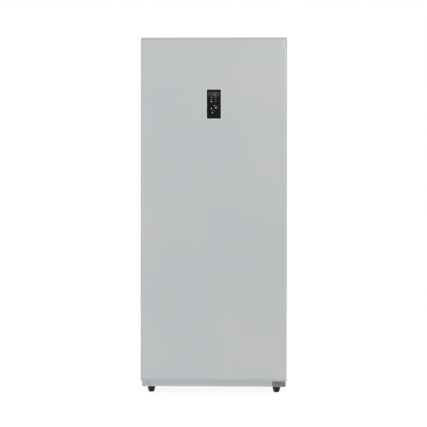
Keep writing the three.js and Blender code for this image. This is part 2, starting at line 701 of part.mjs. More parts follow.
// a form drawn between outlines with as many points each; every section is [outline, place on the axis]
function loft(axis, sections) {
  const count = sections[0][0].length;
  const positions = [];
  sections.forEach(([points, at]) => points.forEach((p) => positions.push(p.x, p.y, at)));
  const index = [];
  for (let level = 0; level + 1 < sections.length; level++) {
    for (let i = 0; i < count; i++) {
      const low = level * count;
      const next = (i + 1) % count;
      index.push(low + i, low + next, low + count + next);
      index.push(low + i, low + count + next, low + count + i);
    }
  }
  const last = (sections.length - 1) * count;
  THREE.ShapeUtils.triangulateShape(sections[0][0], []).forEach(([a, b, c]) => index.push(c, b, a));
  THREE.ShapeUtils.triangulateShape(sections.at(-1)[0], []).forEach(([a, b, c]) => {
    index.push(last + a, last + b, last + c);
  });
  const geometry = new THREE.BufferGeometry();
  geometry.setAttribute('position', new THREE.Float32BufferAttribute(positions, 3));
  geometry.setIndex(index);
  return solidOf(geometry.applyMatrix4(TURN[axis]));
}

// turns a shape that was spun about Y, so that it stands on another axis
const SPIN_TURN = {
  x: new THREE.Matrix4().makeBasis(AXIS_Y, AXIS_X, AXIS_Z.clone().negate()),
  y: new THREE.Matrix4(),
  z: new THREE.Matrix4().makeBasis(AXIS_X, AXIS_Z, AXIS_Y.clone().negate()),
};

// a profile of [radius, place] pairs turned about an axis through the point (x, y, z)
function turned(axis, profile, x, y, z, sides = 24) {
  const points = profile.map(([radius, at]) => new THREE.Vector2(radius, at));
  const geometry = new THREE.LatheGeometry(points, sides);
  geometry.applyMatrix4(SPIN_TURN[axis]);
  return solidOf(geometry.translate(x, y, z));
}

function rod(axis, radius, from, to, x, y, z, sides = 16) {
  return turned(axis, [[0, from], [radius, from], [radius, to], [0, to]], x, y, z, sides);
}

// a route whose steps fall on its own points, so that straight runs take one step
class Route extends THREE.Curve {
  constructor(points) {
    super();
    this.points = points;
  }

  getPoint(t, target = new THREE.Vector3()) {
    const place = t * (this.points.length - 1);
    const i = Math.min(Math.floor(place + 1e-6), this.points.length - 2);
    return target.lerpVectors(this.points[i], this.points[i + 1], place - i);
  }

  getPointAt(u, target) {
    return this.getPoint(u, target);
  }

  getTangentAt(u, target = new THREE.Vector3()) {
    const i = Math.round(u * (this.points.length - 1));
    const before = this.points[Math.max(i - 1, 0)];
    const here = this.points[i];
    const after = this.points[Math.min(i + 1, this.points.length - 1)];
    target.subVectors(after, here).normalize();
    return target.add(here.clone().sub(before).normalize()).normalize();
  }
}

function tube(corners, radius, bend, sides = 8, steps = 4) {
  const points = roundCorners(corners.map((p) => new THREE.Vector3(...p)), bend, false, steps);
  const route = new Route(points);
  const geometry = new THREE.ExtrudeGeometry(new THREE.Shape(circle(0, 0, radius, sides)), {
    steps: points.length - 1,
    extrudePath: route,
  });
  return solidOf(geometry);
}

function atPlace(solid, place) {
  return placed(solid, new THREE.Matrix4().makeTranslation(place.x, place.y, place.z));
}

// ---------- the assembly ----------

const freezer = new THREE.Group();
const door = new THREE.Group();
freezer.add(door);

function finish(color, roughness, metalness = 0) {
  return new THREE.MeshStandardMaterial({ color, roughness, metalness });
}

function piece(name, solid, material, group = freezer) {
  const mesh = new THREE.Mesh(geometryOf(solid), material);
  mesh.name = name;
  group.add(mesh);
}

const silverPaint = () => finish(0xc0c3c5, 0.42, 0.35);
const greyPaint = () => finish(0xb4b7b9, 0.5, 0.3);
const zinc = () => finish(0x8b9094, 0.4, 0.85);
const silverPlastic = () => finish(0xbfc2c4, 0.5);
const whitePlastic = () => finish(0xf0f2f2, 0.45);
const clearPlastic = () => finish(0xe4eef2, 0.15);
const greyRubber = () => finish(0xb9bcbe, 0.8);
const blackPlastic = () => finish(0x1c1d1f, 0.5);
const foamYellow = () => finish(0xe6d9a2, 0.9);
const copper = () => finish(0xb87346, 0.35, 0.9);
const aluminium = () => finish(0xcfd2d5, 0.35, 0.9);
const steel = () => finish(0xa6aaae, 0.3, 0.95);
const blackPaint = () => finish(0x26282a, 0.45, 0.4);
const clearGlass = () => finish(0xd5ece6, 0.06);
const displayGlass = () => finish(0x0a0b0c, 0.08);

// ---------- cabinet ----------

function cabinetWrap() {
  const hem = HALF - SIDE_HEM;
  const edge = HALF - WRAP_FLANGE;
  const low = FLOOR_GAP + CLEAR;
  const high = CABINET_TOP - WRAP_FLANGE;
  const shell = bentSheet(
    [[hem, FLOOR_GAP], [HALF, FLOOR_GAP], [HALF, CABINET_TOP], [-HALF, CABINET_TOP], [-HALF, FLOOR_GAP],
      [-hem, FLOOR_GAP]],
    WRAP_SHEET, [0, SMALL_ROUND, WRAP_CORNER, WRAP_CORNER, SMALL_ROUND, 0],
  );
  const face = outline(
    [[-HALF, low], [-edge, low], [-edge, high], [edge, high], [edge, low], [HALF, low], [HALF, CABINET_TOP],
      [-HALF, CABINET_TOP]],
    [0, 0, 0, 0, 0, 0, WRAP_CORNER, WRAP_CORNER],
  );
  const sides = prism('y', shell, CABINET_FRONT, CABINET_BACK);
  const front = prism('y', face, CABINET_FRONT, CABINET_FRONT + WRAP_SHEET);
  return sides.add(front);
}

// the hollow of the liner, or a larger form round it
function linerForm(grow, front = CABINET_FRONT - PAST) {
  const low = LINER_FLOOR - grow;
  const step = STEP_TOP - grow;
  const top = INNER_TOP + grow;
  const back = INNER_BACK + grow;
  const half = INNER_HALF + grow;
  const round = LINER_CORNER + grow;
  const side = outline(
    [[front, low], [STEP_FRONT + grow, low], [STEP_FRONT + grow, step], [back, step], [back, top],
      [front, top]],
    [0, round, LINER_CORNER - grow, round, round, 0],
  );
  const long = prism('x', side, -half, half);
  return long.intersect(prism('y', rectangle(-half, low, half, top, round), front, back));
}

function shelfRib(side, level) {
  const high = level - CLEAR;
  const low = high - RIB_THICK;
  const wall = side * (INNER_HALF + LINER_SHEET / 2);
  const tip = side * (INNER_HALF - RIB_REACH);
  const section = outline(
    [[wall, low - RIB_THICK], [tip, low], [tip, high], [wall, high]], [0, RIB_ROUND, SMALL_ROUND, 0], 2,
  );
  return prism('y', section, SHELF_FRONT + NOSE_DEPTH * 2, SHELF_BACK - NOSE_DEPTH);
}

function drainHole(low, high) {
  return rod('z', DRAIN_RADIUS + CLEAR, low - PAST, high + PAST, 0, DRAIN_Y, 0);
}

function innerLiner() {
  const high = CABINET_TOP - WRAP_FLANGE - CLEAR;
  const lip = rectangle(-MOUTH_HALF, RAIL_TOP + CLEAR, MOUTH_HALF, high, LIP_CORNER, 2);
  const flange = prism('y', lip, CABINET_FRONT, CABINET_FRONT + LINER_SHEET);
  const tub = without(linerForm(LINER_SHEET, CABINET_FRONT).add(flange), [linerForm(0)]);
  const ribs = SHELF_LEVELS.flatMap((level) => [shelfRib(-1, level), shelfRib(1, level)]);
  return joined([tub, ...ribs]).subtract(drainHole(STEP_TOP - LINER_SHEET, STEP_TOP));
}

function cabinetFoam() {
  const bottom = PAN_HEIGHT + PAN_SHEET + CLEAR;
  const front = CABINET_FRONT + LINER_SHEET + CLEAR;
  const back = CABINET_BACK - BACK_SHEET - CLEAR;
  const roof = MACHINE_HEIGHT + PAN_SHEET + CLEAR;
  const wall = MACHINE_FRONT - PAN_SHEET - CLEAR;
  const side = outline(
    [[front, bottom], [wall, bottom], [wall, roof], [back, roof], [back, WRAP_CEILING],
      [front, WRAP_CEILING]],
    [0, PAN_BEND - PAN_SHEET - CLEAR, 0, 0, 0, 0],
  );
  const across = rectangle(
    -WRAP_INNER, bottom - PAST, WRAP_INNER, WRAP_CEILING, [0, 0, WRAP_CORNER, WRAP_CORNER],
  );
  const body = prism('x', side, -WRAP_INNER, WRAP_INNER)
    .intersect(prism('y', across, front - PAST, back + PAST));
  return without(body, [linerForm(LINER_SHEET + CLEAR), drainHole(roof, STEP_TOP)]);
}

function frontRail() {
  const face = CABINET_FRONT + CLEAR + WRAP_SHEET;
  const hem = WRAP_INNER - SIDE_HEM;
  const profile = bentSheet(
    [[face, PAN_HEIGHT - CLEAR], [face, FLOOR_GAP], [face + RAIL_LIP, FLOOR_GAP]],
    RAIL_SHEET, [0, RAIL_FOLD, 0],
  );
  const upper = block(
    -MOUTH_HALF, MOUTH_HALF, CABINET_FRONT, CABINET_FRONT + LINER_SHEET, PAN_HEIGHT - RAIL_LAP, RAIL_TOP,
  );
  const plates = [];
  const bores = [];
  for (const x of [-FOOT_X, FOOT_X]) {
    const plate = rectangle(
      x - FOOT_PLATE_HALF, face + FOOT_PLATE_START, x + FOOT_PLATE_HALF, FOOT_Y + FOOT_PLATE_BACK,
      FOOT_PLATE_CORNER,
    );
    plates.push(prism('z', plate, FLOOR_GAP, FLOOR_GAP + FOOT_PLATE_SHEET));
    bores.push(rod('z', FOOT_STEM + RUNNING, FLOOR_GAP - PAST, FLOOR_GAP + PAST, x, FOOT_Y, 0));
  }
  return without(joined([prism('x', profile, -hem, hem), upper, ...plates]), bores);
}

function basePan() {
  const lip = CABINET_FRONT + LINER_SHEET + RAIL_SHEET + CLEAR * 3;
  const back = CABINET_BACK - BACK_SHEET - CLEAR * 2;
  const profile = bentSheet(
    [[lip, PAN_HEIGHT], [MACHINE_FRONT, PAN_HEIGHT], [MACHINE_FRONT, MACHINE_HEIGHT], [back, MACHINE_HEIGHT]],
    PAN_SHEET, PAN_BEND,
  );
  return prism('x', profile, -WRAP_INNER, WRAP_INNER).subtract(drainHole(MACHINE_HEIGHT, MACHINE_HEIGHT));
}

function backPanel() {
  const face = CABINET_BACK;
  const crest = face + BEAD_DEPTH;
  const pitch = (2 * WRAP_INNER) / BEAD_COUNT;
  const line = [[WRAP_INNER, face]];
  for (let i = 0; i < BEAD_COUNT; i++) {
    const right = WRAP_INNER - (i + 0.5) * pitch + BEAD_WIDTH / 2;
    const left = right - BEAD_WIDTH;
    line.push([right + BEAD_DEPTH, face], [right, crest], [left, crest], [left - BEAD_DEPTH, face]);
  }
  line.push([-WRAP_INNER, face]);
  const sheet = prism('z', bentSheet(line, BACK_SHEET), MACHINE_HEIGHT + CLEAR, WRAP_CEILING);
  const plan = rectangle(-WRAP_INNER, 0, WRAP_INNER, WRAP_CEILING, [0, 0, WRAP_CORNER, WRAP_CORNER]);
  return sheet.intersect(prism('y', plan, face - PAST, crest + PAST));
}

function wallSpacer(side) {
  const x = side * SPACER_X;
  const form = (width, height, corner) => rectangle(
    x - width / 2, SPACER_Z - height / 2, x + width / 2, SPACER_Z + height / 2, corner,
  );
  const base = form(SPACER_WIDTH, SPACER_HEIGHT, SPACER_CORNER);
  const tip = form(SPACER_TIP_WIDTH, SPACER_TIP_HEIGHT, SPACER_TIP_CORNER);
  const foot = CABINET_BACK + CLEAR;
  return loft('y', [[tip, -DEPTH / 2], [base, -foot - SPACER_FLANGE], [base, -foot]]);
}

piece('cabinet_wrap', cabinetWrap(), silverPaint());
piece('inner_liner', innerLiner(), whitePlastic());
piece('cabinet_foam', cabinetFoam(), foamYellow());
piece('front_rail', frontRail(), greyPaint());
piece('base_pan', basePan(), steel());
piece('back_panel', backPanel(), greyPaint());
piece('wall_spacer_left', wallSpacer(-1), blackPlastic());
piece('wall_spacer_right', wallSpacer(1), blackPlastic());

// ---------- machine compartment ----------

function compressorDeck() {
  const edge = DECK_HEIGHT + DECK_FLANGE;
  const profile = bentSheet(
    [[DECK_FRONT, edge], [DECK_FRONT, DECK_HEIGHT], [DECK_BACK, DECK_HEIGHT], [DECK_BACK, edge]],
    DECK_SHEET, [0, DECK_BEND, DECK_BEND, 0],
  );
  const root = DECK_HEIGHT + DECK_SHEET / 2;
  const ear = outline(
    [[ROLLER_Y - EAR_ROOT, root], [ROLLER_Y - EAR_TIP, EAR_LOW], [ROLLER_Y + EAR_TIP, EAR_LOW],
      [ROLLER_Y + EAR_ROOT, root]],
    [0, EAR_ROUND, EAR_ROUND, 0],
  );
  const near = ROLLER_WIDTH / 2 + RUNNING;
  const far = near + EAR_SHEET;
  const ears = [];
  const bores = [];
  for (const x of [-ROLLER_X, ROLLER_X]) {
    ears.push(prism('x', ear, x - far, x - near), prism('x', ear, x + near, x + far));
    bores.push(rod('x', AXLE_RADIUS + CLEAR, -far - PAST, far + PAST, x, ROLLER_Y, ROLLER_RADIUS));
  }
  return without(joined([prism('x', profile, -WRAP_INNER, WRAP_INNER), ...ears]), bores);
}

function rollerAxle(x) {
  const ears = ROLLER_WIDTH / 2 + RUNNING + EAR_SHEET;
  const neck = -ears - CLEAR;
  const head = AXLE_RADIUS + AXLE_HEAD;
  const tip = ears + AXLE_PAST;
  const profile = [[0, neck - AXLE_HEAD_THICK], [head, neck - AXLE_HEAD_THICK], [head, neck],
    [AXLE_RADIUS, neck], [AXLE_RADIUS, tip - AXLE_BEVEL], [AXLE_RADIUS - AXLE_BEVEL, tip], [0, tip]];
  return turned('x', profile, x, ROLLER_Y, ROLLER_RADIUS, 12);
}

function roller(x) {
  const half = ROLLER_WIDTH / 2;
  const bore = AXLE_RADIUS + RUNNING;
  const shoulder = ROLLER_RADIUS - ROLLER_BEVEL;
  const profile = [[bore, -half], [shoulder, -half], [ROLLER_RADIUS, ROLLER_BEVEL - half],
    [ROLLER_RADIUS, half - ROLLER_BEVEL], [shoulder, half], [bore, half], [bore, -half]];
  return turned('x', profile, x, ROLLER_Y, ROLLER_RADIUS, 18);
}

function compressor() {
  const top = POT_LOW + POT_HEIGHT;
  const seam = POT_LOW + POT_SEAM;
  const profile = [
    [0, POT_LOW],
    ...POT_LOW_SHELL.map(([share, rise]) => [POT_LONG * share, POT_LOW + rise]),
    [POT_LONG, seam - SEAM_HALF], [POT_LONG + SEAM_REACH, seam - SEAM_HALF],
    [POT_LONG + SEAM_REACH, seam + SEAM_HALF], [POT_LONG, seam + SEAM_HALF],
    ...POT_HIGH_SHELL.map(([share, depth]) => [POT_LONG * share, top - depth]),
    [0, top],
  ];
  const oval = new THREE.Matrix4().makeScale(1, POT_WIDE / POT_LONG, 1);
  const shell = placed(turned('z', profile, 0, 0, 0, 20), oval);
  const long = POT_LONG + POT_PLATE_LAP;
  const wide = POT_WIDE - POT_PLATE_INSET;
  const base = rectangle(-long, -wide, long, wide, POT_PLATE_CORNER);
  const plate = prism('z', base, POT_LOW - POT_PLATE_LOW, POT_LOW + POT_PLATE_HIGH);
  const floor = DECK_TOP + CLEAR;
  const bush = [[0, floor], [POT_FOOT_RADIUS, floor], [POT_FOOT_WAIST, DECK_TOP + POT_FOOT_WAIST_RISE],
    [POT_FOOT_RADIUS, POT_LOW], [0, POT_LOW]];
  const feet = [];
  for (const x of [POT_FOOT_END - POT_LONG, POT_LONG - POT_FOOT_END]) {
    for (const y of [POT_FOOT_SIDE - POT_WIDE, POT_WIDE - POT_FOOT_SIDE]) {
      feet.push(turned('z', bush, x, y, 0, 8));
    }
  }
  return atPlace(joined([shell, plate, ...feet]), { x: POT_LEFT, y: POT_Y, z: 0 });
}

function relayCover() {
  const z = POT_LOW + RELAY_RISE;
  const form = (inset, corner) => rectangle(
    POT_Y - RELAY_WIDTH / 2 + inset, z - RELAY_HEIGHT / 2 + inset,
    POT_Y + RELAY_WIDTH / 2 - inset, z + RELAY_HEIGHT / 2 - inset, corner,
  );
  const box = form(0, RELAY_CORNER);
  const lid = form(RELAY_BEVEL, RELAY_LID_CORNER);
  const tip = RELAY_FACE + RELAY_REACH;
  return loft('x', [[box, RELAY_FACE], [box, tip - RELAY_BEVEL_DEPTH], [lid, tip]]);
}

function fanBlade(radius) {
  const root = FAN_HUB - BLADE_ROOT;
  const sections = [0, 0.5, 1].map((share) => {
    const chord = THREE.MathUtils.lerp(BLADE_ROOT_CHORD, BLADE_TIP_CHORD, share);
    const pitch = THREE.MathUtils.degToRad(THREE.MathUtils.lerp(BLADE_ROOT_PITCH, BLADE_TIP_PITCH, share));
    const faces = [-BLADE_HALF, BLADE_HALF].map((face) => {
      const points = [];
      for (let k = 0; k <= BLADE_STEPS; k++) {
        const along = (k / BLADE_STEPS - 0.5) * chord;
        const rise = BLADE_CAMBER * (1 - (2 * along / chord) ** 2) + face;
        points.push(new THREE.Vector2(along, rise).rotateAround(new THREE.Vector2(), pitch));
      }
      return points;
    });
    return [[...faces[0], ...faces[1].reverse()], root + share * (radius - root)];
  });
  return loft('z', sections);
}

// a fan that turns about Y; its blades start upright and are set round the hub
function fanWheel(radius) {
  const half = FAN_DEPTH / 2;
  const profile = [[FAN_BORE, -half], [FAN_HUB - HUB_BEVEL, -half], [FAN_HUB, HUB_BEVEL - half],
    [FAN_HUB, half], [FAN_BORE, half], [FAN_BORE, -half]];
  const blades = [];
  for (let i = 0; i < FAN_BLADES; i++) {
    const turn = new THREE.Matrix4().makeRotationY((2 * Math.PI * i) / FAN_BLADES);
    blades.push(placed(fanBlade(radius), turn));
  }
  return joined([turned('y', profile, 0, 0, 0, 12), ...blades]);
}

// a fan motor behind its fan, with the shaft to the front; all places are along Y from the fan's middle
function fanMotor(front, back) {
  const tip = -FAN_DEPTH / 2 - SHAFT_PAST;
  const edge = MOTOR_RADIUS - MOTOR_BEVEL;
  const profile = [[0, tip], [FAN_SHAFT, tip], [FAN_SHAFT, front - SHAFT_COLLAR],
    [FAN_SHAFT + SHAFT_COLLAR, front], [edge, front], [MOTOR_RADIUS, front + MOTOR_BEVEL],
    [MOTOR_RADIUS, back - MOTOR_BEVEL], [edge, back], [0, back]];
  return turned('y', profile, 0, 0, 0, 14);
}

function ringProfile(inner, outer, from, to) {
  return [[inner, from], [outer, from], [outer, to], [inner, to], [inner, from]];
}

function condenserFanShroud() {
  const mouth = WARM_FAN_RADIUS + SHROUD_GAP;
  const front = -FAN_DEPTH / 2 - SHROUD_GAP;
  const clampFront = MOTOR_START + CLAMP_START;
  const clampBack = clampFront + CLAMP_LONG;
  const face = rectangle(
    WARM_FAN.x - SHROUD_HALF, DECK_TOP + CLEAR, WARM_FAN.x + SHROUD_HALF, SHROUD_TOP, SHROUD_CORNER, 2,
  );
  const hole = rod('y', mouth, SHROUD_FRONT - PAST, SHROUD_FRONT + PAST, WARM_FAN.x, 0, WARM_FAN.z, 20);
  const plate = prism('y', face, SHROUD_FRONT - SHROUD_SHEET, SHROUD_FRONT).subtract(hole);
  const wall = ringProfile(mouth, mouth + SHROUD_SHEET, front - SHROUD_LAP, MOTOR_START);
  const collar = ringProfile(MOTOR_RADIUS + CLEAR, MOTOR_RADIUS + CLAMP_WALL, clampFront, clampBack);
  const armTip = mouth + SHROUD_SHEET / 2;
  const arm = joined([
    block(MOTOR_RADIUS + ARM_ROOT, armTip, clampFront + ARM_ROOT, clampBack - ARM_ROOT, -ARM_HALF, ARM_HALF),
    block(mouth + POST_INSET, mouth + SHROUD_SHEET - POST_INSET, FAN_DEPTH / 2, clampBack - ARM_ROOT,
      -ARM_HALF, ARM_HALF),
  ]);
  const arms = [];
  for (let i = 0; i < ARM_COUNT; i++) {
    arms.push(placed(arm, new THREE.Matrix4().makeRotationY((2 * Math.PI * i) / ARM_COUNT + Math.PI / 2)));
  }
  const cage = joined([turned('y', wall, 0, 0, 0, 20), turned('y', collar, 0, 0, 0, 14), ...arms]);
  return plate.add(atPlace(cage, WARM_FAN));
}

// one pipe that runs to and fro along X, row by row, with an end plate near each end
function pipeBlock({ left, right, y, low, pitch, runs, rows, rowGap, plate, high }) {
  const perRow = runs / rows;
  const corners = [];
  for (let row = 0; row < rows; row++) {
    for (let run = 0; run < perRow; run++) {
      const step = row % 2 === 0 ? run : perRow - 1 - run;
      const z = low + step * pitch;
      const place = y + (row - (rows - 1) / 2) * rowGap;
      const forward = (row * perRow + run) % 2 === 0;
      corners.push([forward ? left : right, place, z], [forward ? right : left, place, z]);
    }
  }
  const bend = Math.min(pitch, rowGap) / 2 - COIL_SLACK;
  const depth = ((rows - 1) * rowGap) / 2 + PIPE + COIL_FOOT;
  const plates = [left + PLATE_INSET, right - PLATE_INSET].map((x) => block(
    x - plate / 2, x + plate / 2, y - depth, y + depth, low - PIPE - COIL_FOOT, high,
  ));
  return joined([tube(corners, PIPE, bend, 5, 2), ...plates]);
}

function condenserCoil() {
  const low = DECK_TOP + CLEAR + PIPE + COIL_FOOT;
  return pipeBlock({
    left: WARM_FAN.x + WARM_FAN_RADIUS + WARM_COIL_GAP,
    right: HALF - WARM_COIL_SIDE,
    y: POT_Y,
    low,
    pitch: WARM_COIL_PITCH,
    runs: WARM_COIL_RUNS,
    rows: WARM_COIL_ROWS,
    rowGap: WARM_COIL_ROW_GAP,
    plate: WARM_PLATE,
    high: low + (WARM_COIL_RUNS / WARM_COIL_ROWS - 1) * WARM_COIL_PITCH + WARM_COIL_HEAD,
  });
}

function machineCover() {
  const low = DECK_HEIGHT + COVER_RISE;
  const high = MACHINE_HEIGHT - CLEAR;
  const face = CABINET_BACK;
  const root = face - COVER_SHEET / 2;
  const tip = face + LOUVRE_REACH;
  const sheet = rectangle(-WRAP_INNER, low, WRAP_INNER, high, COVER_CORNER, 2);
  const plate = prism('y', sheet, face - COVER_SHEET, face);
  const pitch = LOUVRE_LENGTH + LOUVRE_GAP;
  const first = (low + high) / 2 - ((LOUVRE_ROWS - 1) * LOUVRE_PITCH) / 2 - LOUVRE_DROP;
  const hoods = [];
  const slots = [];
  for (let column = 0; column < LOUVRE_COLUMNS; column++) {
    const left = (column - (LOUVRE_COLUMNS - 1) / 2) * pitch - LOUVRE_LENGTH / 2;
    const right = left + LOUVRE_LENGTH;
    for (let row = 0; row < LOUVRE_ROWS; row++) {
      const slotLow = first + row * LOUVRE_PITCH;
      const slotHigh = slotLow + LOUVRE_HEIGHT;
      const hood = outline([[root, slotHigh + HOOD_RISE + HOOD_ROOT], [tip, slotLow + HOOD_RISE + HOOD_TIP],
        [tip, slotLow + HOOD_RISE], [root, slotHigh + HOOD_RISE]]);
      hoods.push(prism('x', hood, left - LOUVRE_LAP, right + LOUVRE_LAP));
      slots.push(block(left, right, face - PAST, face + FLUSH, slotLow, slotHigh));
    }
  }
  const gland = rod('y', GLAND_NECK + CLEAR, face - PAST, face + PAST, GLAND_X, 0, GLAND_Z, 20);
  return joined([without(plate, [...slots, gland]), ...hoods]);
}

function cordGland() {
  const inside = CABINET_BACK - COVER_SHEET - CLEAR;
  const outside = CABINET_BACK + CLEAR;
  const nut = inside - GLAND_NUT;
  const tip = outside + GLAND_TAIL;
  const [across, along] = GLAND_NUT_BEVEL;
  const profile = [[GLAND_BORE, nut], [GLAND_COLLAR - across, nut], [GLAND_COLLAR, nut + along],
    [GLAND_COLLAR, inside], [GLAND_NECK, inside], [GLAND_NECK, outside], [GLAND_COLLAR, outside],
    [GLAND_WAIST, tip - GLAND_TIP_LONG], [GLAND_TIP, tip], [GLAND_BORE, tip], [GLAND_BORE, nut]];
  return turned('y', profile, GLAND_X, 0, GLAND_Z, 12);
}

function drainPan() {
  const form = (inset) => rectangle(
    WARM_FAN.x - DRAIN_PAN_WIDTH / 2 + inset, POT_Y - DRAIN_PAN_LENGTH / 2 + inset,
    WARM_FAN.x + DRAIN_PAN_WIDTH / 2 - inset, POT_Y + DRAIN_PAN_LENGTH / 2 - inset, DRAIN_PAN_CORNER - inset,
  );
  const body = loft('z', [[form(DRAIN_PAN_TAPER), DRAIN_PAN_LOW], [form(0), DRAIN_PAN_HIGH]]);
  const hollow = loft('z', [
    [form(DRAIN_PAN_TAPER + DRAIN_PAN_WALL), DRAIN_PAN_LOW + DRAIN_PAN_WALL],
    [form(DRAIN_PAN_WALL), DRAIN_PAN_HIGH + FLUSH],
  ]);
  return body.subtract(hollow);
}

// runs from the funnel in the liner's step down through the insulation
function drainTube() {
  const top = STEP_TOP + CLEAR;
  const low = DRAIN_PAN_HIGH - DRAIN_DIP;
  const rim = top + DRAIN_FUNNEL_RISE;
  const profile = [[DRAIN_BORE, low], [DRAIN_RADIUS, low], [DRAIN_RADIUS, top],
    [DRAIN_FUNNEL - DRAIN_FUNNEL_SLOPE, top + DRAIN_FUNNEL_START], [DRAIN_FUNNEL, rim],
    [DRAIN_FUNNEL - DRAIN_RIM, rim], [DRAIN_BORE, top + DRAIN_FUNNEL_START / 2], [DRAIN_BORE, low]];
  return turned('z', profile, 0, DRAIN_Y, 0, 12);
}

function filterDrier() {
  const x = POT_LEFT + POT_LONG - DRIER_INSET;
  const y = DECK_FRONT + DRIER_SETBACK;
  const half = [[0, DRIER_HALF], [DRIER_NECK, DRIER_HALF], [DRIER_NECK, DRIER_SHOULDER],
    [DRIER_RADIUS, DRIER_BODY]];
  const mirrored = half.map(([radius, at]) => [radius, -at]);
  const can = turned('x', [...mirrored, ...half.reverse()], x, y, DECK_TOP + DRIER_RISE, 16);
  const foot = block(x - DRIER_FOOT_LONG / 2, x + DRIER_FOOT_LONG / 2, y - DRIER_FOOT_WIDE / 2,
    y + DRIER_FOOT_WIDE / 2, DECK_TOP + CLEAR, DECK_TOP + DRIER_FOOT_HIGH);
  return can.add(foot);
}

function suctionLine() {
  const x = POT_LEFT + SUCTION_OFFSET;
  const low = POT_LOW + SUCTION_RISE;
  const high = low + SUCTION_CLIMB;
  const start = POT_Y - POT_WIDE - SUCTION_GAP;
  const front = start - SUCTION_REACH;
  const route = [[x, start, low], [x, front, low], [x, front, high], [x, DECK_FRONT, high]];
  return tube(route, PIPE, SUCTION_BEND);
}

piece('compressor_deck', compressorDeck(), steel());
piece('roller_axle_left', rollerAxle(-ROLLER_X), zinc());
piece('roller_axle_right', rollerAxle(ROLLER_X), zinc());
piece('roller_left', roller(-ROLLER_X), blackPlastic());
piece('roller_right', roller(ROLLER_X), blackPlastic());
piece('compressor', compressor(), blackPaint());
piece('relay_cover', relayCover(), blackPlastic());
piece('condenser_fan_shroud', condenserFanShroud(), blackPlastic());
piece('condenser_fan_motor', atPlace(fanMotor(MOTOR_START, MOTOR_START + MOTOR_LONG), WARM_FAN), steel());
piece('condenser_fan', atPlace(fanWheel(WARM_FAN_RADIUS), WARM_FAN), blackPlastic());
piece('condenser_coil', condenserCoil(), blackPaint());
piece('machine_cover', machineCover(), greyPaint());
piece('cord_gland', cordGland(), blackPlastic());
piece('drain_pan', drainPan(), blackPlastic());
piece('drain_tube', drainTube(), whitePlastic());
piece('filter_drier', filterDrier(), copper());
piece('suction_line', suctionLine(), copper());

// ---------- cold side ----------

function evaporatorCoil() {
  const coil = pipeBlock({
    left: -COLD_COIL_HALF,
    right: COLD_COIL_HALF,
    y: COLD_Y,
    low: COLD_LOW,
    pitch: COLD_COIL_PITCH,
    runs: COLD_COIL_RUNS,
    rows: COLD_COIL_ROWS,
    rowGap: COLD_COIL_ROW_GAP,
    plate: COLD_PLATE,
    high: COLD_HIGH,
  });
  const high = COLD_HIGH - TAB_DROP;
  const tabs = [PLATE_INSET - COLD_COIL_HALF, COLD_COIL_HALF - PLATE_INSET].map((x) => block(
    x - TAB_WIDTH / 2, x + TAB_WIDTH / 2, COLD_Y + COLD_COIL_ROW_GAP / 2, INNER_BACK - CLEAR,
    high - TAB_HEIGHT, high,
  ));
  return joined([coil, ...tabs]);
}

function defrostHeater() {
  const half = COLD_COIL_HALF - HEATER_INSET;
  const front = COLD_Y - HEATER_HALF_GAP;
  const back = COLD_Y + HEATER_HALF_GAP;
  const z = COLD_LOW - PIPE - COIL_FOOT - CLEAR - HEATER_RADIUS;
  const tail = z - HEATER_TAIL;
  return tube(
    [[-half, back, tail], [-half, back, z], [half, back, z], [half, front, z], [-half, front, z],
      [-half, front, tail]],
    HEATER_RADIUS, HEATER_BEND, 8, 3,
  );
}

function ductCover() {
  const half = DUCT_WIDTH / 2;
  const back = INNER_BACK - CLEAR;
  const profile = bentSheet(
    [[-half, back], [-half, DUCT_FRONT], [half, DUCT_FRONT], [half, back]], DUCT_SHEET,
    [0, DUCT_CORNER, DUCT_CORNER, 0],
  );
  const tray = prism('z', profile, DUCT_LOW, DUCT_HIGH);
  const lid = block(
    DUCT_LID_INSET - half, half - DUCT_LID_INSET, DUCT_FRONT + DUCT_CORNER, back,
    DUCT_HIGH - DUCT_SHEET, DUCT_HIGH,
  );
  const cut = (shape) => prism('y', shape, DUCT_FRONT - PAST, DUCT_FRONT + PAST);
  const cuts = [];
  for (const level of SHELF_LEVELS.slice(1)) {
    for (let i = 1; i <= DUCT_SLOTS_PER_SHELF; i++) {
      const z = level + DUCT_SLOT_RISE + i * DUCT_SLOT_PITCH;
      for (const x of [-half / 2 - DUCT_SLOT_SPLIT, half / 2 + DUCT_SLOT_SPLIT]) {
        const left = x - DUCT_SLOT_WIDTH / 2;
        const right = x + DUCT_SLOT_WIDTH / 2;
        cuts.push(cut(rectangle(left, z, right, z + DUCT_SLOT_HEIGHT, DUCT_SLOT_CORNER, 1)));
      }
    }
  }
  const sweep = (2 * Math.PI) / GRILLE_ARCS;
  for (const radius of GRILLE_RINGS) {
    for (let i = 0; i < GRILLE_ARCS; i++) {
      const arc = [];
      for (let k = 0; k <= GRILLE_STEPS; k++) {
        const angle = sweep * i + GRILLE_BRIDGE + (k / GRILLE_STEPS) * (sweep - 2 * GRILLE_BRIDGE);
        arc.push([COLD_FAN.x + radius * Math.cos(angle), COLD_FAN.z + radius * Math.sin(angle)]);
      }
      cuts.push(cut(bentSheet(arc, -GRILLE_SLOT)));
    }
  }
  return without(tray.add(lid), cuts);
}

function lampLens() {
  const [long, wide] = LAMP_TAPER;
  const top = INNER_TOP - CLEAR;
  const right = LAMP_WIDTH / 2;
  const front = LAMP_Y - LAMP_LENGTH / 2;
  const back = LAMP_Y + LAMP_LENGTH / 2;
  const base = rectangle(-right, front, right, back, LAMP_CORNER);
  const tip = rectangle(long - right, front + wide, right - long, back - wide, LAMP_TIP_CORNER);
  return loft('z', [[tip, top - LAMP_HEIGHT], [base, top - LAMP_RIM], [base, top]]);
}

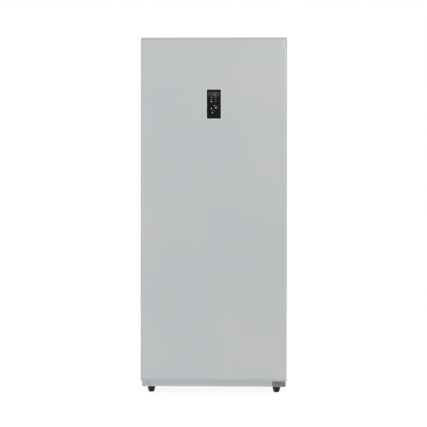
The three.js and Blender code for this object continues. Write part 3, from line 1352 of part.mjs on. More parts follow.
const coldMotor = fanMotor(MOTOR_START, INNER_BACK - CLEAR - COLD_FAN.y);
piece('evaporator_coil', evaporatorCoil(), aluminium());
piece('defrost_heater', defrostHeater(), steel());
piece('evaporator_fan_motor', atPlace(coldMotor, COLD_FAN), steel());
piece('evaporator_fan', atPlace(fanWheel(COLD_FAN_RADIUS), COLD_FAN), whitePlastic());
piece('duct_cover', ductCover(), whitePlastic());
piece('lamp_lens', lampLens(), clearPlastic());

// ---------- shelves and basket ----------

function shelfTrim(level) {
  const middle = level + SHELF_THICK - SHELF_GLASS - CLEAR;
  const high = level + SHELF_THICK;
  const low = level - NOSE_DROP;
  const noseBack = SHELF_FRONT + NOSE_DEPTH;
  const outer = rectangle(-SHELF_HALF, SHELF_EDGE, SHELF_HALF, SHELF_BACK, SHELF_CORNER);
  const hole = (inset) => rectangle(
    inset - SHELF_HALF, SHELF_EDGE + inset, SHELF_HALF - inset, SHELF_BACK - inset, GLASS_CORNER, 2,
  );
  const ledge = prism('z', outer, level, middle, [hole(SHELF_TRIM)]);
  const rim = prism('z', outer, middle, high, [hole(SHELF_LEDGE)]);
  const nose = outline(
    [[SHELF_FRONT, low], [noseBack, low], [noseBack, high], [SHELF_FRONT, high]],
    [NOSE_ROUND, NOSE_EDGE, NOSE_EDGE, NOSE_ROUND],
  );
  const bar = prism('x', nose, SHELF_CORNER - SHELF_HALF, SHELF_HALF - SHELF_CORNER);
  return joined([ledge, rim, bar]);
}

function shelfGlass(level) {
  const inset = SHELF_LEDGE + CLEAR;
  const front = SHELF_EDGE + Math.max(inset, NOSE_DEPTH / 2 + CLEAR);
  const plate = rectangle(inset - SHELF_HALF, front, SHELF_HALF - inset, SHELF_BACK - inset, GLASS_CORNER, 2);
  return prism('z', plate, level + SHELF_THICK - SHELF_GLASS, level + SHELF_THICK);
}

SHELF_LEVELS.forEach((level, i) => {
  piece(`shelf_trim_${i + 1}`, shelfTrim(level), whitePlastic());
  piece(`shelf_glass_${i + 1}`, shelfGlass(level), clearGlass());
});

function lowerBasket() {
  const ring = (inset, corner) => rectangle(
    inset - BASKET_HALF, SHELF_FRONT + inset, BASKET_HALF - inset, BASKET_BACK - inset, corner,
  );
  const top = BASKET_LOW + BASKET_HEIGHT;
  const neck = top - BASKET_RIM_THICK;
  const inner = BASKET_RIM + BASKET_WALL;
  const body = loft('z', [
    [ring(BASKET_RIM + BASKET_TAPER, BASKET_CORNER - BASKET_NARROWING), BASKET_LOW],
    [ring(BASKET_RIM, BASKET_CORNER), neck],
  ]);
  const hollow = loft('z', [
    [ring(inner + BASKET_TAPER, BASKET_INNER_CORNER - BASKET_NARROWING), BASKET_LOW + BASKET_WALL],
    [ring(inner, BASKET_INNER_CORNER), top + FLUSH],
  ]);
  const rim = prism('z', ring(0, BASKET_CORNER), neck, top);
  const gripHigh = top - BASKET_GRIP_DROP;
  const grip = rectangle(
    -BASKET_GRIP_WIDTH / 2, gripHigh - BASKET_GRIP_HEIGHT, BASKET_GRIP_WIDTH / 2, gripHigh, BASKET_GRIP_ROUND,
  );
  const gripBack = SHELF_FRONT + inner + BASKET_TAPER + PAST;
  return without(body.add(rim), [hollow, prism('y', grip, SHELF_FRONT - PAST, gripBack)]);
}

piece('lower_basket', lowerBasket(), clearPlastic());

// ---------- levelling feet ----------

function levellingFoot(x) {
  const centre = new THREE.Vector2();
  const hexagon = (radius) => circle(0, 0, radius, FOOT_SIDES)
    .map((point) => point.rotateAround(centre, Math.PI / FOOT_SIDES));
  const body = loft('z', [
    [hexagon(FOOT_BASE_RADIUS - FOOT_BEVEL), 0],
    [hexagon(FOOT_BASE_RADIUS), FOOT_BEVEL],
    [hexagon(FOOT_BASE_RADIUS + FOOT_FLARE), FOOT_WAIST_LOW],
    [hexagon(FOOT_TOP_RADIUS), FOOT_WAIST_HIGH],
    [hexagon(FOOT_TOP_RADIUS), FOOT_HEIGHT - FOOT_BEVEL],
    [hexagon(FOOT_TOP_RADIUS - FOOT_BEVEL), FOOT_HEIGHT],
  ]);
  const stem = rod('z', FOOT_STEM, FOOT_HEIGHT - STEM_ROOT, PAN_HEIGHT - CLEAR - STEM_TOP_GAP, 0, 0, 0);
  return atPlace(body.add(stem), { x, y: FOOT_Y, z: 0 });
}

piece('foot_left', levellingFoot(-FOOT_X), blackPlastic());
piece('foot_right', levellingFoot(FOOT_X), blackPlastic());

// ---------- hinges on the cabinet ----------

function topHingeBracket() {
  const left = PIVOT_X - TOP_ARM_LEFT;
  const right = PIVOT_X + HINGE_ARM + TOP_ARM_RIGHT;
  const shoulder = CABINET_FRONT - ARM_SHOULDER;
  const arm = outline(
    [[left, TOP_PLATE_BACK], [left, CABINET_FRONT], [PIVOT_X - HINGE_ARM, shoulder],
      [PIVOT_X - HINGE_ARM, PIVOT_Y - HINGE_ARM], [PIVOT_X + HINGE_ARM, PIVOT_Y - HINGE_ARM],
      [PIVOT_X + HINGE_ARM, shoulder], [right, CABINET_FRONT], [right, TOP_PLATE_BACK]],
    [TOP_PLATE_CORNER, 0, SMALL_ROUND, ARM_ROUND, ARM_ROUND, 0, 0, TOP_PLATE_CORNER], 4,
  );
  return prism('z', arm, TOP_ARM_LOW, TOP_ARM_HIGH, [circle(PIVOT_X, PIVOT_Y, HINGE_PIN + CLEAR)]);
}

function topHingePin() {
  const low = HINGE_WELL - HINGE_DROP + PIN_TIP;
  const head = TOP_ARM_HIGH + CLEAR;
  const flange = HINGE_PIN + PIN_HEAD;
  const profile = [[0, low], [HINGE_PIN - PIN_TIP, low], [HINGE_PIN, low + PIN_TIP_LONG], [HINGE_PIN, head],
    [flange, head], [flange, head + PIN_HEAD], [0, head + PIN_HEAD]];
  return turned('z', profile, PIVOT_X, PIVOT_Y, 0, 16);
}

function topHingeCover() {
  const left = PIVOT_X - HINGE_COVER_LEFT;
  const right = PIVOT_X + HINGE_ARM + HINGE_COVER_RIGHT;
  const back = TOP_PLATE_BACK + HINGE_COVER_BACK;
  const front = CABINET_FRONT + HINGE_COVER_FRONT;
  const top = HEIGHT - HINGE_COVER_SLACK;
  const bevel = top - HINGE_COVER_BEVEL_RISE;
  const wall = HINGE_COVER_WALL;
  const ring = (inset) => rectangle(
    left + inset, front + inset, right - inset, back - inset, HINGE_COVER_CORNER - inset / 2,
  );
  const body = loft('z', [[ring(0), TOP_ARM_LOW], [ring(0), bevel], [ring(HINGE_COVER_BEVEL), top]]);
  const hollow = loft('z', [
    [ring(wall), TOP_ARM_LOW - FLUSH], [ring(wall), bevel], [ring(wall + HINGE_COVER_BEVEL), top - wall],
  ]);
  const notch = block(
    left + HINGE_COVER_NOTCH, right - HINGE_COVER_NOTCH, front - PAST, front + HINGE_COVER_NOTCH_DEPTH,
    TOP_ARM_LOW - PAST, TOP_ARM_HIGH + HINGE_COVER_NOTCH_ROOM,
  );
  return without(body, [hollow, notch]);
}

function bottomHingeBracket() {
  const right = HALF - LOW_PLATE_SIDE;
  const left = right - LOW_PLATE_WIDTH;
  const face = CABINET_FRONT - CLEAR;
  const front = PIVOT_Y - HINGE_ARM;
  const shape = rectangle(
    left, LOW_ARM_HIGH - LOW_PLATE_HEIGHT, right, LOW_ARM_HIGH,
    [LOW_PLATE_CORNER, LOW_PLATE_CORNER, LOW_PLATE_FOLD, LOW_PLATE_FOLD],
  );
  const arm = outline(
    [[left, face], [left, face - LOW_ARM_REACH], [PIVOT_X - HINGE_ARM - LOW_ARM_NOSE, front], [right, front],
      [right, face]],
    LOW_ARM_ROUNDS, 4,
  );
  const bore = circle(PIVOT_X, PIVOT_Y, HINGE_PIN + CLEAR);
  return prism('y', shape, face - HINGE_PLATE, face).add(prism('z', arm, LOW_ARM_LOW, LOW_ARM_HIGH, [bore]));
}

function bottomHingePin() {
  const collar = HINGE_BUSH - COLLAR_INSET;
  const head = HINGE_PIN + LOW_PIN_HEAD;
  const neck = LOW_ARM_LOW - CLEAR;
  const tip = DOOR_BOTTOM + HINGE_DROP - PIN_TIP;
  const profile = [[0, LOW_ARM_LOW - PIN_HEAD], [head, LOW_ARM_LOW - PIN_HEAD], [head, neck],
    [HINGE_PIN, neck], [HINGE_PIN, LOW_ARM_HIGH + CLEAR], [collar, LOW_ARM_HIGH + CLEAR],
    [collar, DOOR_BOTTOM - CLEAR], [HINGE_PIN, DOOR_BOTTOM - CLEAR], [HINGE_PIN, tip - PIN_TIP],
    [HINGE_PIN - PIN_TIP, tip], [0, tip]];
  return turned('z', profile, PIVOT_X, PIVOT_Y, 0, 16);
}

piece('top_hinge_bracket', topHingeBracket(), zinc());
piece('top_hinge_pin', topHingePin(), steel());
piece('top_hinge_cover', topHingeCover(), silverPlastic());
piece('bottom_hinge_bracket', bottomHingeBracket(), zinc());
piece('bottom_hinge_pin', bottomHingePin(), steel());

// ---------- door ----------

// the door's plan, drawn in from its outside by an inset
function doorPlan(inset) {
  const roll = DOOR_ROLL - inset;
  const corners = [roll, roll, DOOR_EDGE, DOOR_EDGE];
  return rectangle(inset - HALF, DOOR_FRONT + inset, HALF - inset, DOOR_BACK - inset, corners, 5);
}

function displayWindow(grow) {
  const half = DISPLAY_WIDTH / 2 + grow;
  const tall = DISPLAY_HEIGHT / 2 + grow;
  return rectangle(-half, DISPLAY_CENTRE - tall, half, DISPLAY_CENTRE + tall, DISPLAY_CORNER + grow);
}

// the mouth of the grip in the door's side, grown all round
function gripMouth(grow) {
  return rectangle(GRIP_FRONT - grow, GRIP_LOW - grow, GRIP_BACK + grow, GRIP_HIGH + grow, GRIP_CORNER, 4);
}

function gripForm(grow, depth, past = 0) {
  const floor = rectangle(
    GRIP_FRONT + GRIP_FRONT_SLOPE - grow, GRIP_LOW + GRIP_END_SLOPE - grow,
    GRIP_BACK - GRIP_BACK_SLOPE + grow, GRIP_HIGH - GRIP_END_SLOPE + grow, GRIP_FLOOR_CORNER, 4,
  );
  return loft('x', [[gripMouth(grow), -HALF - past], [floor, -HALF + depth]]);
}

// the corner of the door that the trim beside the top hinge takes, from "left" to the right
function hingeCorner(left) {
  return block(left, HALF + PAST, DOOR_FRONT - PAST, DOOR_BACK + PAST, LEG_LOW - CLEAR, HEIGHT + PAST);
}

function doorSkin() {
  const line = [[DOOR_RETURN - HALF, DOOR_BACK], [-HALF, DOOR_BACK], [-HALF, DOOR_FRONT], [HALF, DOOR_FRONT],
    [HALF, DOOR_BACK], [HALF - DOOR_RETURN, DOOR_BACK]];
  const profile = bentSheet(line, DOOR_SHEET, [0, SMALL_ROUND, DOOR_ROLL, DOOR_ROLL, SMALL_ROUND, 0], 5);
  const window = prism('y', displayWindow(CLEAR), DOOR_FRONT - PAST, DOOR_FRONT + PAST);
  const grip = prism('x', gripMouth(GRIP_WALL + CLEAR), -HALF - PAST, -HALF + PAST);
  const fold = hingeCorner(HINGE_BOX_LEFT - CLEAR).intersect(
    block(-HALF, HALF + PAST, DOOR_BACK - PAST, DOOR_BACK + PAST, 0, HEIGHT + PAST),
  );
  const leg = hingeCorner(HALF - HINGE_LEG_WIDTH - CLEAR);
  return without(prism('z', profile, SKIN_BOTTOM, SKIN_TOP), [window, grip, leg, fold]);
}

function doorTopCap() {
  const join = SKIN_TOP + CAP_JOIN;
  const plate = prism('z', doorPlan(0), SKIN_TOP + CLEAR, HEIGHT);
  const plug = prism('z', doorPlan(DOOR_INNER + CLEAR), SKIN_TOP - CAP_PLUG, join);
  const beside = (left) => block(left, HALF + PAST, DOOR_FRONT - PAST, DOOR_BACK + PAST, LEG_LOW, HEIGHT);
  const leg = prism('z', doorPlan(0), LEG_LOW, join).intersect(beside(HALF - HINGE_LEG_WIDTH));
  const box = prism('z', doorPlan(DOOR_INNER), LEG_LOW, join).intersect(beside(HINGE_BOX_LEFT));
  const room = rectangle(
    PIVOT_X - HINGE_SIDE_ROOM, PIVOT_Y - HINGE_FRONT_ROOM, HALF + PAST, DOOR_BACK + PAST,
    [HINGE_WELL_CORNER, 0, 0, 0], 4,
  );
  const well = prism('z', room, HINGE_WELL, HEIGHT + PAST);
  const bore = rod('z', HINGE_PIN + RUNNING, HINGE_WELL - HINGE_DROP, HEIGHT, PIVOT_X, PIVOT_Y, 0);
  return without(joined([plate, plug, leg, box]), [well, bore]);
}

function doorBottomCap() {
  const plate = prism('z', doorPlan(0), DOOR_BOTTOM, SKIN_BOTTOM - CLEAR);
  const plug = prism('z', doorPlan(DOOR_INNER + CLEAR), SKIN_BOTTOM - CAP_JOIN, SKIN_BOTTOM + CAP_PLUG);
  const bush = rod('z', HINGE_BUSH + BUSH_WALL, SKIN_BOTTOM, BUSH_TOP, PIVOT_X, PIVOT_Y, 0);
  const boreTop = DOOR_BOTTOM + HINGE_DROP;
  const bore = rod('z', HINGE_PIN + RUNNING, DOOR_BOTTOM - PAST, boreTop, PIVOT_X, PIVOT_Y, 0);
  return joined([plate, plug, bush]).subtract(bore);
}

// the ridge round the inside of the door, or a smaller form inside it
function dykeForm(inset, front) {
  const round = DYKE_CORNER - inset;
  const form = (from) => rectangle(
    from - DYKE_HALF, DYKE_BOTTOM + from, DYKE_HALF - from, DYKE_TOP - from, round, 4,
  );
  const hole = rectangle(
    -DYKE_INNER - inset, DYKE_BOTTOM + DYKE_WIDTH - inset, DYKE_INNER + inset, DYKE_TOP - DYKE_WIDTH + inset,
    DYKE_HOLE_CORNER + inset, 4,
  );
  const tip = PANEL_BACK + DYKE_REACH - inset;
  const body = loft('y', [
    [form(inset + DYKE_BEVEL), -tip], [form(inset), DYKE_BEVEL_RISE - tip], [form(inset), -front],
  ]);
  return body.subtract(prism('y', hole, front - PAST, tip + PAST));
}

function binLug(side, level) {
  const wall = side * (DYKE_INNER + LUG_ROOT);
  const tip = side * (DYKE_INNER - LUG_REACH);
  const high = level + BIN_HEIGHT - LUG_DROP;
  const low = high - LUG_HEIGHT;
  const section = outline([[wall, low - LUG_SLOPE], [tip, low], [tip, high], [wall, high]]);
  return prism('y', section, LUG_BACK, LUG_BACK + LUG_WIDTH);
}

function doorLiner() {
  const half = HALF - DOOR_RETURN / 2 - PANEL_INSET;
  const low = SKIN_BOTTOM + PANEL_END;
  const high = SKIN_TOP - PANEL_END;
  const shoulder = LEG_LOW - PANEL_END;
  const side = HINGE_BOX_LEFT - PANEL_END;
  const sheet = outline(
    [[-half, low], [half, low], [half, shoulder], [side, shoulder], [side, high], [-half, high]],
    [PANEL_CORNER, PANEL_CORNER, PANEL_CORNER, 0, PANEL_CORNER, PANEL_CORNER], 2,
  );
  const plate = prism('y', sheet, DOOR_BACK + CLEAR, PANEL_BACK);
  const hollow = dykeForm(PANEL_SHEET, DOOR_BACK - PAST);
  const ridge = dykeForm(0, DOOR_BACK + CLEAR);
  const lugs = BIN_LEVELS.flatMap((level) => [binLug(-1, level), binLug(1, level)]);
  return joined([plate.subtract(hollow), ridge.subtract(hollow), ...lugs]);
}

function doorFoam() {
  const low = SKIN_BOTTOM + CAP_PLUG + CLEAR;
  const high = SKIN_TOP - CAP_PLUG - CLEAR;
  const body = prism('z', doorPlan(DOOR_INNER + CLEAR), low, high);
  const ridge = dykeForm(PANEL_SHEET + CLEAR, DOOR_BACK - PAST);
  const bush = rod('z', HINGE_BUSH + BUSH_WALL + CLEAR, low - PAST, BUSH_TOP + CLEAR, PIVOT_X, PIVOT_Y, 0);
  const display = prism('y', displayWindow(CLEAR * 2), DOOR_FRONT - PAST, DISPLAY_BACK + CLEAR);
  const rim = prism('x', gripMouth(GRIP_RIM), -HALF - PAST, -HALF + DOOR_INNER + GRIP_WALL + CLEAR * 2);
  const grip = gripForm(GRIP_WALL + CLEAR, GRIP_DEPTH + GRIP_WALL + CLEAR).add(rim);
  return without(body.add(ridge), [hingeCorner(HINGE_BOX_LEFT - CLEAR), bush, display, grip]);
}

// the cup sits in the side of the skin, with a rim behind the sheet
function handlePocket() {
  const cup = gripForm(GRIP_WALL, GRIP_DEPTH + GRIP_WALL);
  const rim = prism('x', gripMouth(GRIP_RIM - CLEAR), -HALF + DOOR_INNER, -HALF + DOOR_INNER + GRIP_WALL);
  return cup.add(rim).subtract(gripForm(0, GRIP_DEPTH, FLUSH));
}

function displayHousing() {
  const front = DOOR_FRONT + DISPLAY_GLASS + CLEAR;
  const box = prism('y', displayWindow(0), front, DISPLAY_BACK);
  return box.subtract(prism('y', displayWindow(-DISPLAY_WALL), front - PAST, DISPLAY_BACK - DISPLAY_WALL));
}

function displayPane() {
  const pane = displayWindow(0);
  return loft('y', [
    [pane, -DOOR_FRONT - DISPLAY_GLASS],
    [pane, -DOOR_FRONT - DISPLAY_BEVEL_DEPTH],
    [displayWindow(-DISPLAY_BEVEL), -DOOR_FRONT],
  ]);
}

function doorGasket() {
  const outer = (inset, corner) => rectangle(
    SEAL_INSET + inset - HALF, DOOR_BOTTOM + SEAL_BOTTOM_INSET + inset, HALF - SEAL_INSET - inset,
    CABINET_TOP - SEAL_TOP_INSET - inset, corner,
  );
  const ring = (inset, from, to) => prism(
    'y', outer(inset, SEAL_CORNER - inset), from, to, [outer(SEAL_WIDTH - inset, SEAL_HOLE_CORNER)],
  );
  const front = PANEL_BACK + CLEAR;
  const back = CABINET_FRONT - CLEAR;
  return joined([
    ring(SEAL_FOOT_INSET, front, front + SEAL_FOOT),
    ring(SEAL_NECK_INSET, front + SEAL_FOOT - SEAL_LAP, back - SEAL_HEAD + SEAL_LAP),
    ring(0, back - SEAL_HEAD, back),
  ]);
}

// hooks over the lug at the door's right side
function binHanger(level) {
  const lugTop = level + BIN_HEIGHT - LUG_DROP;
  const low = lugTop - HANGER_DROP;
  const far = DYKE_INNER - CLEAR;
  const front = LUG_BACK - CLEAR;
  const back = LUG_BACK + LUG_WIDTH + CLEAR;
  const frame = block(
    BIN_HALF - BIN_WALL - HANGER_ROOT, far, front - HANGER_WALL, back + HANGER_WALL,
    low, lugTop + HANGER_WALL,
  );
  return frame.subtract(block(BIN_HALF, far + PAST, front, back, low - PAST, lugTop + CLEAR));
}

function doorBin(level) {
  const high = level + BIN_HEIGHT;
  const plan = (inset, taper) => rectangle(
    inset + taper - BIN_HALF, BIN_BACK + inset, BIN_HALF - inset - taper, BIN_FRONT - inset - taper,
    [BIN_BACK_CORNER, BIN_BACK_CORNER, BIN_CORNER, BIN_CORNER],
  );
  const body = loft('z', [[plan(0, BIN_TAPER), level], [plan(0, 0), high]]);
  const hollow = loft('z', [
    [plan(BIN_WALL, BIN_TAPER), level + BIN_WALL], [plan(BIN_WALL, 0), high + FLUSH],
  ]);
  const rim = high + BIN_DIP_PAST;
  const dip = outline(
    [[BIN_DIP_START - BIN_HALF, rim], [BIN_DIP_END - BIN_HALF, high - BIN_DIP],
      [BIN_HALF - BIN_DIP_END, high - BIN_DIP], [BIN_HALF - BIN_DIP_START, rim]],
    [0, BIN_DIP_ROUND, BIN_DIP_ROUND, 0],
  );
  const cut = prism('y', dip, BIN_FRONT - BIN_CORNER, BIN_FRONT + PAST);
  const hanger = binHanger(level);
  const across = new THREE.Matrix4().makeTranslation(0, 2 * LUG_BACK + LUG_WIDTH, 0)
    .multiply(new THREE.Matrix4().makeRotationZ(Math.PI));
  return joined([without(body, [hollow, cut]), placed(hanger, across), hanger]);
}

piece('door_skin', doorSkin(), silverPaint(), door);
piece('door_top_cap', doorTopCap(), silverPlastic(), door);
piece('door_bottom_cap', doorBottomCap(), silverPlastic(), door);
piece('door_liner', doorLiner(), whitePlastic(), door);
piece('door_foam', doorFoam(), foamYellow(), door);
piece('door_gasket', doorGasket(), greyRubber(), door);
piece('handle_pocket', handlePocket(), silverPlastic(), door);
piece('display_housing', displayHousing(), blackPlastic(), door);
piece('display_glass', displayPane(), displayGlass(), door);
BIN_LEVELS.forEach((level, i) => piece(`door_bin_${i + 1}`, doorBin(level), clearPlastic(), door));

export default freezer;
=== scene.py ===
import json
import math
from contextlib import contextmanager

import bmesh
import bpy
from mathutils import Matrix, Vector


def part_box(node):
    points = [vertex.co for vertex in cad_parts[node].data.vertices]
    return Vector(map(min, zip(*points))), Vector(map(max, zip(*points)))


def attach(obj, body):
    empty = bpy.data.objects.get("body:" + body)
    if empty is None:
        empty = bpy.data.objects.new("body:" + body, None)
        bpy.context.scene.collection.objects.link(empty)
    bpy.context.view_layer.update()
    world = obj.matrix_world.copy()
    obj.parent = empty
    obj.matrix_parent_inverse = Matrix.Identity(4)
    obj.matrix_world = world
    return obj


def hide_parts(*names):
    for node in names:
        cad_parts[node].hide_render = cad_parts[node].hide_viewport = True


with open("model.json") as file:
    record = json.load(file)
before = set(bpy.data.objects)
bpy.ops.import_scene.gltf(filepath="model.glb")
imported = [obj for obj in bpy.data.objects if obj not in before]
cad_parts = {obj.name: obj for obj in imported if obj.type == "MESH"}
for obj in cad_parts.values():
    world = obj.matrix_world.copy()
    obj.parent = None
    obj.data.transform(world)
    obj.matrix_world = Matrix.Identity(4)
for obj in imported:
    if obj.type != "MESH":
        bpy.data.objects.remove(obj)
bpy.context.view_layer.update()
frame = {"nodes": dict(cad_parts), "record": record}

MM = 0.001
SLOT_OF = {row["node"]: row["material_slot"] for row in frame["record"]["subparts"]}
BODY_OF = {node: body for body, nodes in frame["record"]["behaviour"]["bodies"].items() for node in nodes}

door_low, door_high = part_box("door_skin")
wrap_low, wrap_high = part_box("cabinet_wrap")
glass_low, glass_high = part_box("display_glass")


# ---------- finishes ----------

def from_srgb(text):
    """A colour written as six hex digits, as linear numbers."""
    parts = [int(text[i:i + 2], 16) / 255 for i in (0, 2, 4)]
    linear = [p / 12.92 if p <= 0.04045 else ((p + 0.055) / 1.055) ** 2.4 for p in parts]
    return (*linear, 1.0)


class Finish:
    """A procedural material: a Principled shader and the patterns that feed it."""

    NOISE_SHARPNESS = 0.55
    NOISE_LOW, NOISE_HIGH = 0.3, 0.7     # most of a noise pattern lies between these

    def __init__(self, name, colour, roughness, metallic=0.0, **sockets):
        self.material = bpy.data.materials.new(name)
        self.material.use_nodes = True
        self.tree = self.material.node_tree
        self.shader = self.tree.nodes["Principled BSDF"]
        self.colour = from_srgb(colour)
        self.shader.inputs["Base Color"].default_value = self.colour
        self.shader.inputs["Roughness"].default_value = roughness
        self.shader.inputs["Metallic"].default_value = metallic
        for socket, value in sockets.items():
            self.shader.inputs[socket.replace("_", " ")].default_value = value
        coordinates = self.tree.nodes.new("ShaderNodeTexCoord")
        self.place = coordinates.outputs["Object"]

    def link(self, output, socket):
        self.tree.links.new(output, socket)

    def stretched(self, stretch):
        """The object's own coordinates, scaled apart along X, Y and Z."""
        mapping = self.tree.nodes.new("ShaderNodeMapping")
        mapping.inputs["Scale"].default_value = stretch
        self.link(self.place, mapping.inputs["Vector"])
        return mapping.outputs["Vector"]

    def noise(self, scale, detail, stretch=(1, 1, 1)):
        node = self.tree.nodes.new("ShaderNodeTexNoise")
        node.inputs["Scale"].default_value = scale
        node.inputs["Detail"].default_value = detail
        node.inputs["Roughness"].default_value = self.NOISE_SHARPNESS
        self.link(self.stretched(stretch), node.inputs["Vector"])
        return node.outputs["Fac"]

    def cells(self, scale):
        node = self.tree.nodes.new("ShaderNodeTexVoronoi")
        node.inputs["Scale"].default_value = scale
        self.link(self.place, node.inputs["Vector"])
        return node

    def blend_colour(self, pattern, other, low=0.4, high=0.6):
        ramp = self.tree.nodes.new("ShaderNodeValToRGB")
        ramp.color_ramp.elements[0].position = low
        ramp.color_ramp.elements[0].color = self.colour
        ramp.color_ramp.elements[1].position = high
        ramp.color_ramp.elements[1].color = from_srgb(other)
        self.link(pattern, ramp.inputs["Fac"])
        self.link(ramp.outputs["Color"], self.shader.inputs["Base Color"])
        return self

    def vary_roughness(self, pattern, low, high):
        span = self.tree.nodes.new("ShaderNodeMapRange")
        span.inputs["From Min"].default_value = self.NOISE_LOW
        span.inputs["From Max"].default_value = self.NOISE_HIGH
        span.inputs["To Min"].default_value = low
        span.inputs["To Max"].default_value = high
        self.link(pattern, span.inputs["Value"])
        self.link(span.outputs["Result"], self.shader.inputs["Roughness"])
        return self

    def relief(self, pattern, distance_mm, strength):
        bump = self.tree.nodes.new("ShaderNodeBump")
        bump.inputs["Strength"].default_value = strength
        bump.inputs["Distance"].default_value = distance_mm * MM
        self.link(pattern, bump.inputs["Height"])
        self.link(bump.outputs["Normal"], self.shader.inputs["Normal"])
        return self


def silver_paint():
    finish = Finish("silver_paint", "BCBFC1", 0.4, 0.30, Coat_Weight=0.25, Coat_Roughness=0.22)
    finish.blend_colour(finish.noise(2.2, 3), "C0C2C4", 0.35, 0.7)
    finish.vary_roughness(finish.noise(900, 2), 0.36, 0.46)
    return finish.relief(finish.noise(380, 3), 0.012, 0.35).material


def grey_paint():
    finish = Finish("grey_paint", "DBDEE0", 0.5, 0.15)
    finish.blend_colour(finish.noise(9, 5), "D4D7DA", 0.4, 0.75)
    finish.vary_roughness(finish.noise(60, 4), 0.42, 0.6)
    return finish.relief(finish.noise(700, 2), 0.02, 0.5).material


def black_paint():
    finish = Finish("black_paint", "1B1C1E", 0.42, 0.1, Coat_Weight=0.15)
    finish.blend_colour(finish.noise(30, 6), "2A2B2D", 0.45, 0.8)
    finish.vary_roughness(finish.noise(45, 5), 0.34, 0.58)
    return finish.relief(finish.noise(500, 3), 0.03, 0.6).material


def zinc_coated_sheet():
    finish = Finish("zinc_coated_sheet", "A4A9AD", 0.42, 0.85)
    spangle = finish.cells(90)
    finish.blend_colour(spangle.outputs["Color"], "C2C7CA", 0.25, 0.75)
    finish.vary_roughness(spangle.outputs["Color"], 0.3, 0.52)
    return finish.relief(finish.noise(160, 4), 0.02, 0.4).material


def zinc_plated():
    finish = Finish("zinc_plated", "74797D", 0.4, 0.9)
    finish.blend_colour(finish.noise(120, 6), "8A8C86", 0.4, 0.8)
    finish.vary_roughness(finish.noise(70, 5), 0.3, 0.5)
    return finish.relief(finish.noise(650, 3), 0.012, 0.5).material


def ground_steel():
    finish = Finish("ground_steel", "B4B7BA", 0.28, 1.0)
    finish.blend_colour(finish.noise(40, 4, (1, 1, 14)), "9B9EA2", 0.4, 0.7)
    finish.vary_roughness(finish.noise(300, 3, (1, 1, 20)), 0.2, 0.36)
    return finish.relief(finish.noise(900, 2, (1, 1, 20)), 0.006, 0.4).material


def mill_aluminium():
    finish = Finish("mill_aluminium", "D2D4D6", 0.34, 1.0)
    finish.blend_colour(finish.noise(35, 5, (6, 1, 1)), "BFC2C5", 0.4, 0.75)
    finish.vary_roughness(finish.noise(260, 3, (12, 1, 1)), 0.28, 0.46)
    return finish.relief(finish.noise(500, 3, (8, 1, 1)), 0.01, 0.5).material


def bare_copper():
    finish = Finish("bare_copper", "C07A52", 0.32, 1.0)
    finish.blend_colour(finish.noise(60, 6), "8E5236", 0.45, 0.8)
    finish.vary_roughness(finish.noise(90, 4), 0.24, 0.46)
    return finish.relief(finish.noise(420, 3), 0.01, 0.4).material


def silver_plastic():
    finish = Finish("silver_plastic", "BCBFC1", 0.46)
    finish.blend_colour(finish.noise(14, 4), "B7BABC", 0.4, 0.7)
    finish.vary_roughness(finish.noise(500, 2), 0.42, 0.52)
    return finish.relief(finish.noise(1100, 2), 0.02, 0.35).material


def white_plastic():
    finish = Finish("white_plastic", "EDEFEF", 0.36, Subsurface_Weight=0.04, Subsurface_Scale=0.004)
    finish.blend_colour(finish.noise(5, 4), "E6E9EA", 0.4, 0.75)
    finish.vary_roughness(finish.noise(240, 3), 0.32, 0.45)
    return finish.relief(finish.noise(620, 2), 0.018, 0.3).material


def clear_plastic():
    finish = Finish("clear_plastic", "F4F9FB", 0.1, IOR=1.49, Transmission_Weight=0.7)
    finish.blend_colour(finish.noise(7, 2), "EDF5F9", 0.4, 0.7)
    finish.vary_roughness(finish.noise(9, 3), 0.08, 0.16)
    return finish.relief(finish.noise(24, 2), 0.05, 0.15).material


def black_plastic():
    finish = Finish("black_plastic", "0D0D0E", 0.5, Specular_IOR_Level=0.28)
    finish.blend_colour(finish.noise(40, 4), "141415", 0.4, 0.75)
    finish.vary_roughness(finish.noise(200, 3), 0.48, 0.64)
    return finish.relief(finish.noise(1300, 2), 0.04, 0.6).material


def cut_foam():
    finish = Finish("cut_foam", "E2D39A", 0.92)
    pores = finish.cells(700)
    finish.blend_colour(finish.noise(60, 6), "CDB978", 0.4, 0.75)
    finish.vary_roughness(finish.noise(90, 3), 0.86, 0.97)
    return finish.relief(pores.outputs["Distance"], 0.35, 0.8).material


def grey_rubber():
    finish = Finish("grey_rubber", "B4B7B9", 0.72, Sheen_Weight=0.08)
    finish.blend_colour(finish.noise(26, 4), "A7ABAD", 0.4, 0.75)
    finish.vary_roughness(finish.noise(320, 3), 0.64, 0.8)
    return finish.relief(finish.noise(900, 2), 0.02, 0.5).material


def shelf_glass():
    finish = Finish("shelf_glass", "DDF1EB", 0.03, IOR=1.52, Transmission_Weight=0.97)
    finish.blend_colour(finish.noise(4, 3), "D3ECE5", 0.4, 0.7)
    return finish.vary_roughness(finish.noise(30, 4), 0.02, 0.06).material


def black_glass():
    finish = Finish("black_glass", "050607", 0.07, Specular_IOR_Level=0.12)
    finish.blend_colour(finish.noise(30, 3), "08090B", 0.4, 0.7)
    return finish.vary_roughness(finish.noise(40, 5), 0.05, 0.12).material


def lit_mark():
    finish = Finish("lit_mark", "DDE4EA", 0.4, Emission_Strength=0.42)
    finish.shader.inputs["Emission Color"].default_value = from_srgb("C8D2DA")
    return finish.blend_colour(finish.noise(300, 2), "C9D2DA", 0.4, 0.7).material


def window_grey():
    finish = Finish("window_grey", "2C2D30", 0.4, Specular_IOR_Level=0.15)
    finish.vary_roughness(finish.noise(200, 2), 0.35, 0.5)
    return finish.blend_colour(finish.noise(160, 2), "35363A", 0.4, 0.7).material


